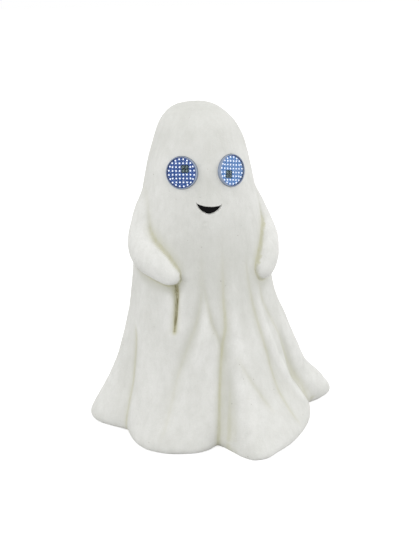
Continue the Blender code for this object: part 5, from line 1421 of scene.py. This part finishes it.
def make_cells(sizes):
    """Three cells in their sleeves, and the plates and conical springs that they press on."""
    panel = panel_frame()
    boxes = [local_box(panel, f"cell_{number}") for number in (1, 2, 3)]
    radius = (boxes[0][1].z - boxes[0][0].z) / 2
    feet = []
    for number, (low, high) in enumerate(boxes, 1):
        side = 1 if high.x > -low.x else -1
        foot, tip = (low.x, high.x) if side > 0 else (high.x, low.x)
        length = abs(tip - foot)
        button = length - .0012
        middle = (low + high) / 2
        feet.append(Vector((foot, middle.y, middle.z)))
        place = Matrix.Translation(feet[-1]) @ Matrix.Rotation(-side * pi / 2, 4, "Z")
        sleeve = [(radius * .62, .00012), (radius * .88, .00012), (radius * .97, .0005), (radius, .0012),
                  (radius, button - .0012), (radius * .97, button - .0005), (radius * .88, button - .0001),
                  (radius * .7, button - .0001), (radius * .7, button - .0012), (radius * .62, .0015)]
        can = [(0, .0001), (radius * .5, .0001), (radius * .6, .0003), (radius * .84, .0009),
               (radius * .84, button - .0016), (radius * .66, button - .0007), (.0030, button - .0005),
               (.0027, button), (.0026, length - .0002), (.0023, length), (0, length)]
        cell = moulding(f"wrapped_cell_{number}", "Grey shrink sleeve", panel @ place,
                        [("UNION", lambda work: lathe_into(work, sleeve, 48))], 0)
        core = moulding(f"cell_can_{number}", "Drawn aluminium can", panel @ place,
                        [("UNION", lambda work: lathe_into(work, can, 32))], 0)
        bands = []
        for start, end in ((button - .0085, button - .0060), (.0050, .0058)):
            ring = [(radius - .0003, start), (radius + .00004, start), (radius + .00004, end),
                    (radius - .0003, end)]
            bands.append(moulding("band", "White printed ring", panel @ place,
                                  [("UNION", lambda work, ring=ring: lathe_into(work, ring, 48))], 0))
        add_loose(cell, [core] + bands)
        finish_piece(cell, "statue", (f"cell_{number}",))

    for word, side in (("left", -1), ("right", 1)):
        for number in (1, 2):
            node = f"{word}_contact_{number}"
            low, high = local_box(panel, node)
            outer = high.x if side > 0 else low.x
            thick = .0005
            inner = outer - side * thick
            springs = [foot for foot in feet if foot.x * side > 0 and low.z < foot.z < high.z]

            def plate_build(work):
                turn = Matrix.Translation((outer, 0, 0)) @ Matrix.Rotation(side * pi / 2, 4, "Z")
                ends = sorted((low.y * side, high.y * side))
                plate_into(work, (ends[0], low.z), (ends[1], high.z), .0012, [(0, 0), (0, thick)], 4)
                bmesh.ops.transform(work, matrix=turn, verts=work.verts)
            contact = moulding(f"sprung_{node}", "Nickel-plated spring steel", panel,
                               [("UNION", plate_build)], .0001)
            if springs:
                points = bpy.data.meshes.new("spring_points")
                points.from_pydata([(inner, foot.y, foot.z) for foot in springs], [], [])
                run = abs(inner - springs[0].x) - GAP - sizes.spring_wire
                inputs = {"Run": ("NodeSocketFloat", run), "Wire": ("NodeSocketFloat", sizes.spring_wire / 2),
                          "Turn": ("NodeSocketVector", (0, -side * pi / 2, 0))}
                coils = grown("springs", points, inputs, spring_tree)
                coils.data.transform(panel)
                add_loose(contact, [coils])
            finish_piece(contact, "statue", (node,))


def spring_tree(tree, entry):
    """Conical coils of wire, widest on the plate, one on each point."""
    spiral = add_node(tree, "GeometryNodeCurveSpiral", {
        "Resolution": 20, "Rotations": 3.75, "Start Radius": .0031, "End Radius": .0019,
        "Height": entry["Run"]})
    wire = add_node(tree, "GeometryNodeCurvePrimitiveCircle", {"Resolution": 8, "Radius": entry["Wire"]})
    coil = add_node(tree, "GeometryNodeCurveToMesh", {
        "Curve": spiral.outputs[0], "Profile Curve": wire.outputs[0], "Fill Caps": True})
    placed = add_node(tree, "GeometryNodeInstanceOnPoints", {
        "Points": entry["Geometry"], "Instance": coil.outputs[0], "Rotation": entry["Turn"]})
    real = add_node(tree, "GeometryNodeRealizeInstances", {"Geometry": placed.outputs[0]})
    made = add_node(tree, "GeometryNodeSetMaterial", {
        "Geometry": real.outputs[0], "Material": bpy.data.materials["Nickel-plated spring steel"]})
    return made.outputs[0]


def make_switch():
    """The slider of the switch, with a ridged thumb piece on its base."""
    panel = panel_frame()
    low, high = local_box(panel, "switch_slider")
    knob = (low.x + high.x) / 2
    half = .002
    top = high.y

    def grooves(work):
        for step in range(-1, 2):
            x = knob + step * .00115
            plate_into(work, (x - .00028, low.z - .001), (x + .00028, high.z + .001), GAP / 10,
                       [(0, top - .0005), (0, top + .001)], 1)
    slider = moulding("ridged_switch_slider", "Textured black ABS", panel, [
        ("UNION", plate((low.x, low.z), (high.x, high.z), .0004, [(0, low.y), (0, low.y + .001)], 2)),
        ("UNION", plate((knob - half, low.z + .00002), (knob + half, high.z - .00002), .0005,
                        [(0, low.y + .0005), (0, top - .0006), (.0002, top)], 3)),
        ("DIFFERENCE", grooves)], .0001)
    finish_piece(slider, "switch_slider", ("switch_slider",))


# The stage

CAMERA_TURN = -11
CAMERA_RISE = 20
CAMERA_DISTANCE = 1.6
LENS = 69.1
AIM_ASIDE = 0.016137
AIM_HEIGHT = 0.21195

# Each soft lamp: its place, the side of its square and its power
LAMPS = (
    ("Left softbox", (-2.6, -1.3, .9), 1.8, 15), ("Right softbox", (2.6, -1.1, .9), 1.8, 18),
    ("Top softbox", (0, -.3, 3.0), 2.2, 5), ("Front fill", (-.4, -3.2, 1.2), 1.8, 3),
    ("Back softbox", (.3, 2.8, 1.3), 1.8, 9),
)


def seen_rays(tree):
    """The node that is 1 for what the camera sees, straight, mirrored or through glass."""
    rays = add_node(tree, "ShaderNodeLightPath")
    seen = add_node(tree, "ShaderNodeMath", {0: rays.outputs["Is Camera Ray"],
                                             1: rays.outputs["Is Glossy Ray"]}, operation="MAXIMUM")
    seen = add_node(tree, "ShaderNodeMath", {0: seen.outputs[0], 1: rays.outputs["Is Transmission Ray"]},
                    operation="MAXIMUM")
    return seen


def make_stage():
    """A pale floor and backdrop, soft lamps, and the camera at the photograph's angle."""
    scene = bpy.context.scene
    scene.view_settings.view_transform = "Standard"
    turn, rise = radians(CAMERA_TURN), radians(CAMERA_RISE)
    aim = AXIS + Vector((AIM_ASIDE * cos(turn), AIM_ASIDE * sin(turn), AIM_HEIGHT))
    toward = Vector((sin(turn) * cos(rise), -cos(turn) * cos(rise), sin(rise)))
    camera_data = bpy.data.cameras.new("Camera")
    camera_data.lens = LENS
    camera = bpy.data.objects.new("Camera", camera_data)
    scene.collection.objects.link(camera)
    camera.location = aim + toward * CAMERA_DISTANCE
    camera.rotation_euler = (-toward).to_track_quat("-Z", "Y").to_euler()
    scene.camera = camera

    def build_floor(work):
        bmesh.ops.create_grid(work, x_segments=1, y_segments=1, size=6)
    floor = new_object("floor", mesh_from("floor", build_floor))
    tree, shader, _ = new_material("Pale studio floor")
    tree.nodes.remove(shader)
    seen = seen_rays(tree)
    level = add_node(tree, "ShaderNodeMath", {0: seen.outputs[0], 1: .72}, operation="MULTIPLY")
    glow = add_node(tree, "ShaderNodeEmission", {"Color": (1, 1, 1, 1), "Strength": level.outputs[0]})
    matt = add_node(tree, "ShaderNodeBsdfDiffuse", {"Color": (.55, .55, .55, 1)})
    both = add_node(tree, "ShaderNodeAddShader", {0: glow.outputs[0], 1: matt.outputs[0]})
    tree.links.new(both.outputs[0], tree.nodes["Material Output"].inputs["Surface"])
    floor.data.materials.append(bpy.data.materials["Pale studio floor"])

    world = bpy.data.worlds.new("Studio")
    world.use_nodes = True
    scene.world = world
    tree = world.node_tree
    seen = seen_rays(tree)
    level = add_node(tree, "ShaderNodeMapRange", {"Value": seen.outputs[0], "To Min": .93, "To Max": 1})
    back = tree.nodes["Background"]
    back.inputs["Color"].default_value = (1, 1, 1, 1)
    tree.links.new(level.outputs["Result"], back.inputs["Strength"])

    for name, spot, size, power in LAMPS:
        lamp = bpy.data.lights.new(name, "AREA")
        lamp.size = size
        lamp.energy = power
        thing = bpy.data.objects.new(name, lamp)
        scene.collection.objects.link(thing)
        thing.location = spot
        thing.rotation_euler = (Vector((0, 0, .22)) - Vector(spot)).to_track_quat("-Z", "Y").to_euler()


# Add-on

def length(name, description, default):
    return FloatProperty(name=name, description=description, default=default, min=0, precision=4,
                         unit="LENGTH", subtype="DISTANCE")


def tint(name, description, hex_colour):
    return FloatVectorProperty(name=name, description=description, default=linear(hex_colour), size=3,
                               min=0, max=1, subtype="COLOR")


class GhostSizes(PropertyGroup):
    fold_depth: length("Fold depth", "Depth of the deepest fold of the drape", .012)
    arm_radius: length("Arm radius", "Radius of the arms at the elbow", .0215)
    lump: length("Lumps", "Height of the hand-smoothed unevenness", .0009)
    stroke: length("Strokes", "Height of the brush strokes", .0001)
    pit_count: IntProperty(name="Pits", description="How many shallow pits are strewn on the cast",
                           default=40, min=0)
    mouth_width: length("Mouth width", "From corner to corner of the smile", .040)
    mouth_drop: length("Mouth drop", "From the corners to the lower edge", .0172)
    mouth_sag: length("Mouth sag", "From the corners to the middle of the upper edge", .0058)
    diode_pitch: length("Diode pitch", "Distance between the diodes of an eye", .0052)
    diode_size: length("Diode size", "Diameter of one diode", .0024)
    case_wall: length("Case wall", "Thickness of the battery case", .0018)
    case_knuckle: length("Case knuckle", "Length of each knuckle of the case", .010)
    cell_air: length("Cell air", "Beside the cells", .0008)
    floor_air: length("Floor air", "Under the cells", .0006)
    switch_travel: length("Switch travel", "Way that the switch slides", .004)
    spring_wire: length("Spring wire", "Diameter of the contacts' wire", .0008)


class GhostColours(PropertyGroup):
    cement: tint("Cement", "The whitewashed cast", "#E0E0DC")
    cement_pale: tint("Pale cement", "The wash where it is thick", "#E9E9E6")
    # The duller colour of the grit and smears, also used for the painted shade
    cement_grit_and_shade: tint("Dull cement", "Grit, smears and painted shade", "#BFC0B8")
    # The ochre wash and the deep wash also stand for the shade in the creases
    wash: tint("Ochre wash", "Settled in the creases", "#BFBD9C")
    deep_wash_and_shade: tint("Deep wash", "In the deepest creases", "#7C7455")


class GHOST_OT_finishes(Operator):
    """Make the materials and give the CAD parts theirs"""
    bl_idname = "ghost.finishes"
    bl_label = "Finishes"

    def execute(self, context):
        make_materials(context.scene.ghost_colours)
        finish_cad_nodes()
        return {"FINISHED"}


class GHOST_OT_statue(Operator):
    """Cast the statue with its arms, sockets and pocket"""
    bl_idname = "ghost.statue"
    bl_label = "Cast Statue"

    def execute(self, context):
        make_statue(context.scene.ghost_sizes)
        return {"FINISHED"}


class GHOST_OT_mouth(Operator):
    """Paint the smile"""
    bl_idname = "ghost.mouth"
    bl_label = "Painted Mouth"

    def execute(self, context):
        make_mouth(context.scene.ghost_sizes)
        return {"FINISHED"}


class GHOST_OT_eyes(Operator):
    """Make both dot-matrix eyes"""
    bl_idname = "ghost.eyes"
    bl_label = "Dot-Matrix Eyes"

    def execute(self, context):
        for side in ("left", "right"):
            make_eye(context.scene.ghost_sizes, side)
        return {"FINISHED"}


class GHOST_OT_battery_case(Operator):
    """Mould the battery case and its hinge pin"""
    bl_idname = "ghost.battery_case"
    bl_label = "Battery Case"

    def execute(self, context):
        make_case(context.scene.ghost_sizes)
        return {"FINISHED"}


class GHOST_OT_battery_door(Operator):
    """Mould the battery door and its seal"""
    bl_idname = "ghost.battery_door"
    bl_label = "Battery Door"

    def execute(self, context):
        make_door(context.scene.ghost_sizes)
        return {"FINISHED"}


class GHOST_OT_screws(Operator):
    """Set the screws of the case and of its door"""
    bl_idname = "ghost.screws"
    bl_label = "Screws"

    def execute(self, context):
        make_screws()
        return {"FINISHED"}


class GHOST_OT_cells(Operator):
    """Put in the cells, their plates and springs"""
    bl_idname = "ghost.cells"
    bl_label = "Cells and Contacts"

    def execute(self, context):
        make_cells(context.scene.ghost_sizes)
        return {"FINISHED"}


class GHOST_OT_switch(Operator):
    """Make the slider of the switch"""
    bl_idname = "ghost.switch"
    bl_label = "Switch"

    def execute(self, context):
        make_switch()
        return {"FINISHED"}


class GHOST_OT_stage(Operator):
    """Set up the floor, lamps and camera"""
    bl_idname = "ghost.stage"
    bl_label = "Stage"

    def execute(self, context):
        make_stage()
        return {"FINISHED"}


STEPS = (GHOST_OT_finishes, GHOST_OT_statue, GHOST_OT_mouth, GHOST_OT_eyes, GHOST_OT_battery_case,
         GHOST_OT_battery_door, GHOST_OT_screws, GHOST_OT_cells, GHOST_OT_switch, GHOST_OT_stage)


class GHOST_PT_panel(Panel):
    """Sizes, colours and pieces of the ghost figure"""
    bl_label = "Ghost Figure"
    bl_idname = "GHOST_PT_panel"
    bl_space_type = "VIEW_3D"
    bl_region_type = "UI"
    bl_category = "Ghost"

    def draw(self, context):
        for group in (context.scene.ghost_sizes, context.scene.ghost_colours):
            column = self.layout.column()
            for name in group.__annotations__:
                column.prop(group, name)
        for step in STEPS:
            self.layout.operator(step.bl_idname)


CLASSES = (GhostSizes, GhostColours, *STEPS, GHOST_PT_panel)


def register():
    for made in CLASSES:
        bpy.utils.register_class(made)
    bpy.types.Scene.ghost_sizes = PointerProperty(type=GhostSizes)
    bpy.types.Scene.ghost_colours = PointerProperty(type=GhostColours)


def unregister():
    del bpy.types.Scene.ghost_colours
    del bpy.types.Scene.ghost_sizes
    for made in reversed(CLASSES):
        bpy.utils.unregister_class(made)


def main():
    register()
    bpy.ops.ghost.finishes()
    bpy.ops.ghost.statue()
    bpy.ops.ghost.mouth()
    bpy.ops.ghost.eyes()
    bpy.ops.ghost.battery_case()
    bpy.ops.ghost.battery_door()
    bpy.ops.ghost.screws()
    bpy.ops.ghost.cells()
    bpy.ops.ghost.switch()
    bpy.ops.ghost.stage()


if __name__ == "__main__":
    main()
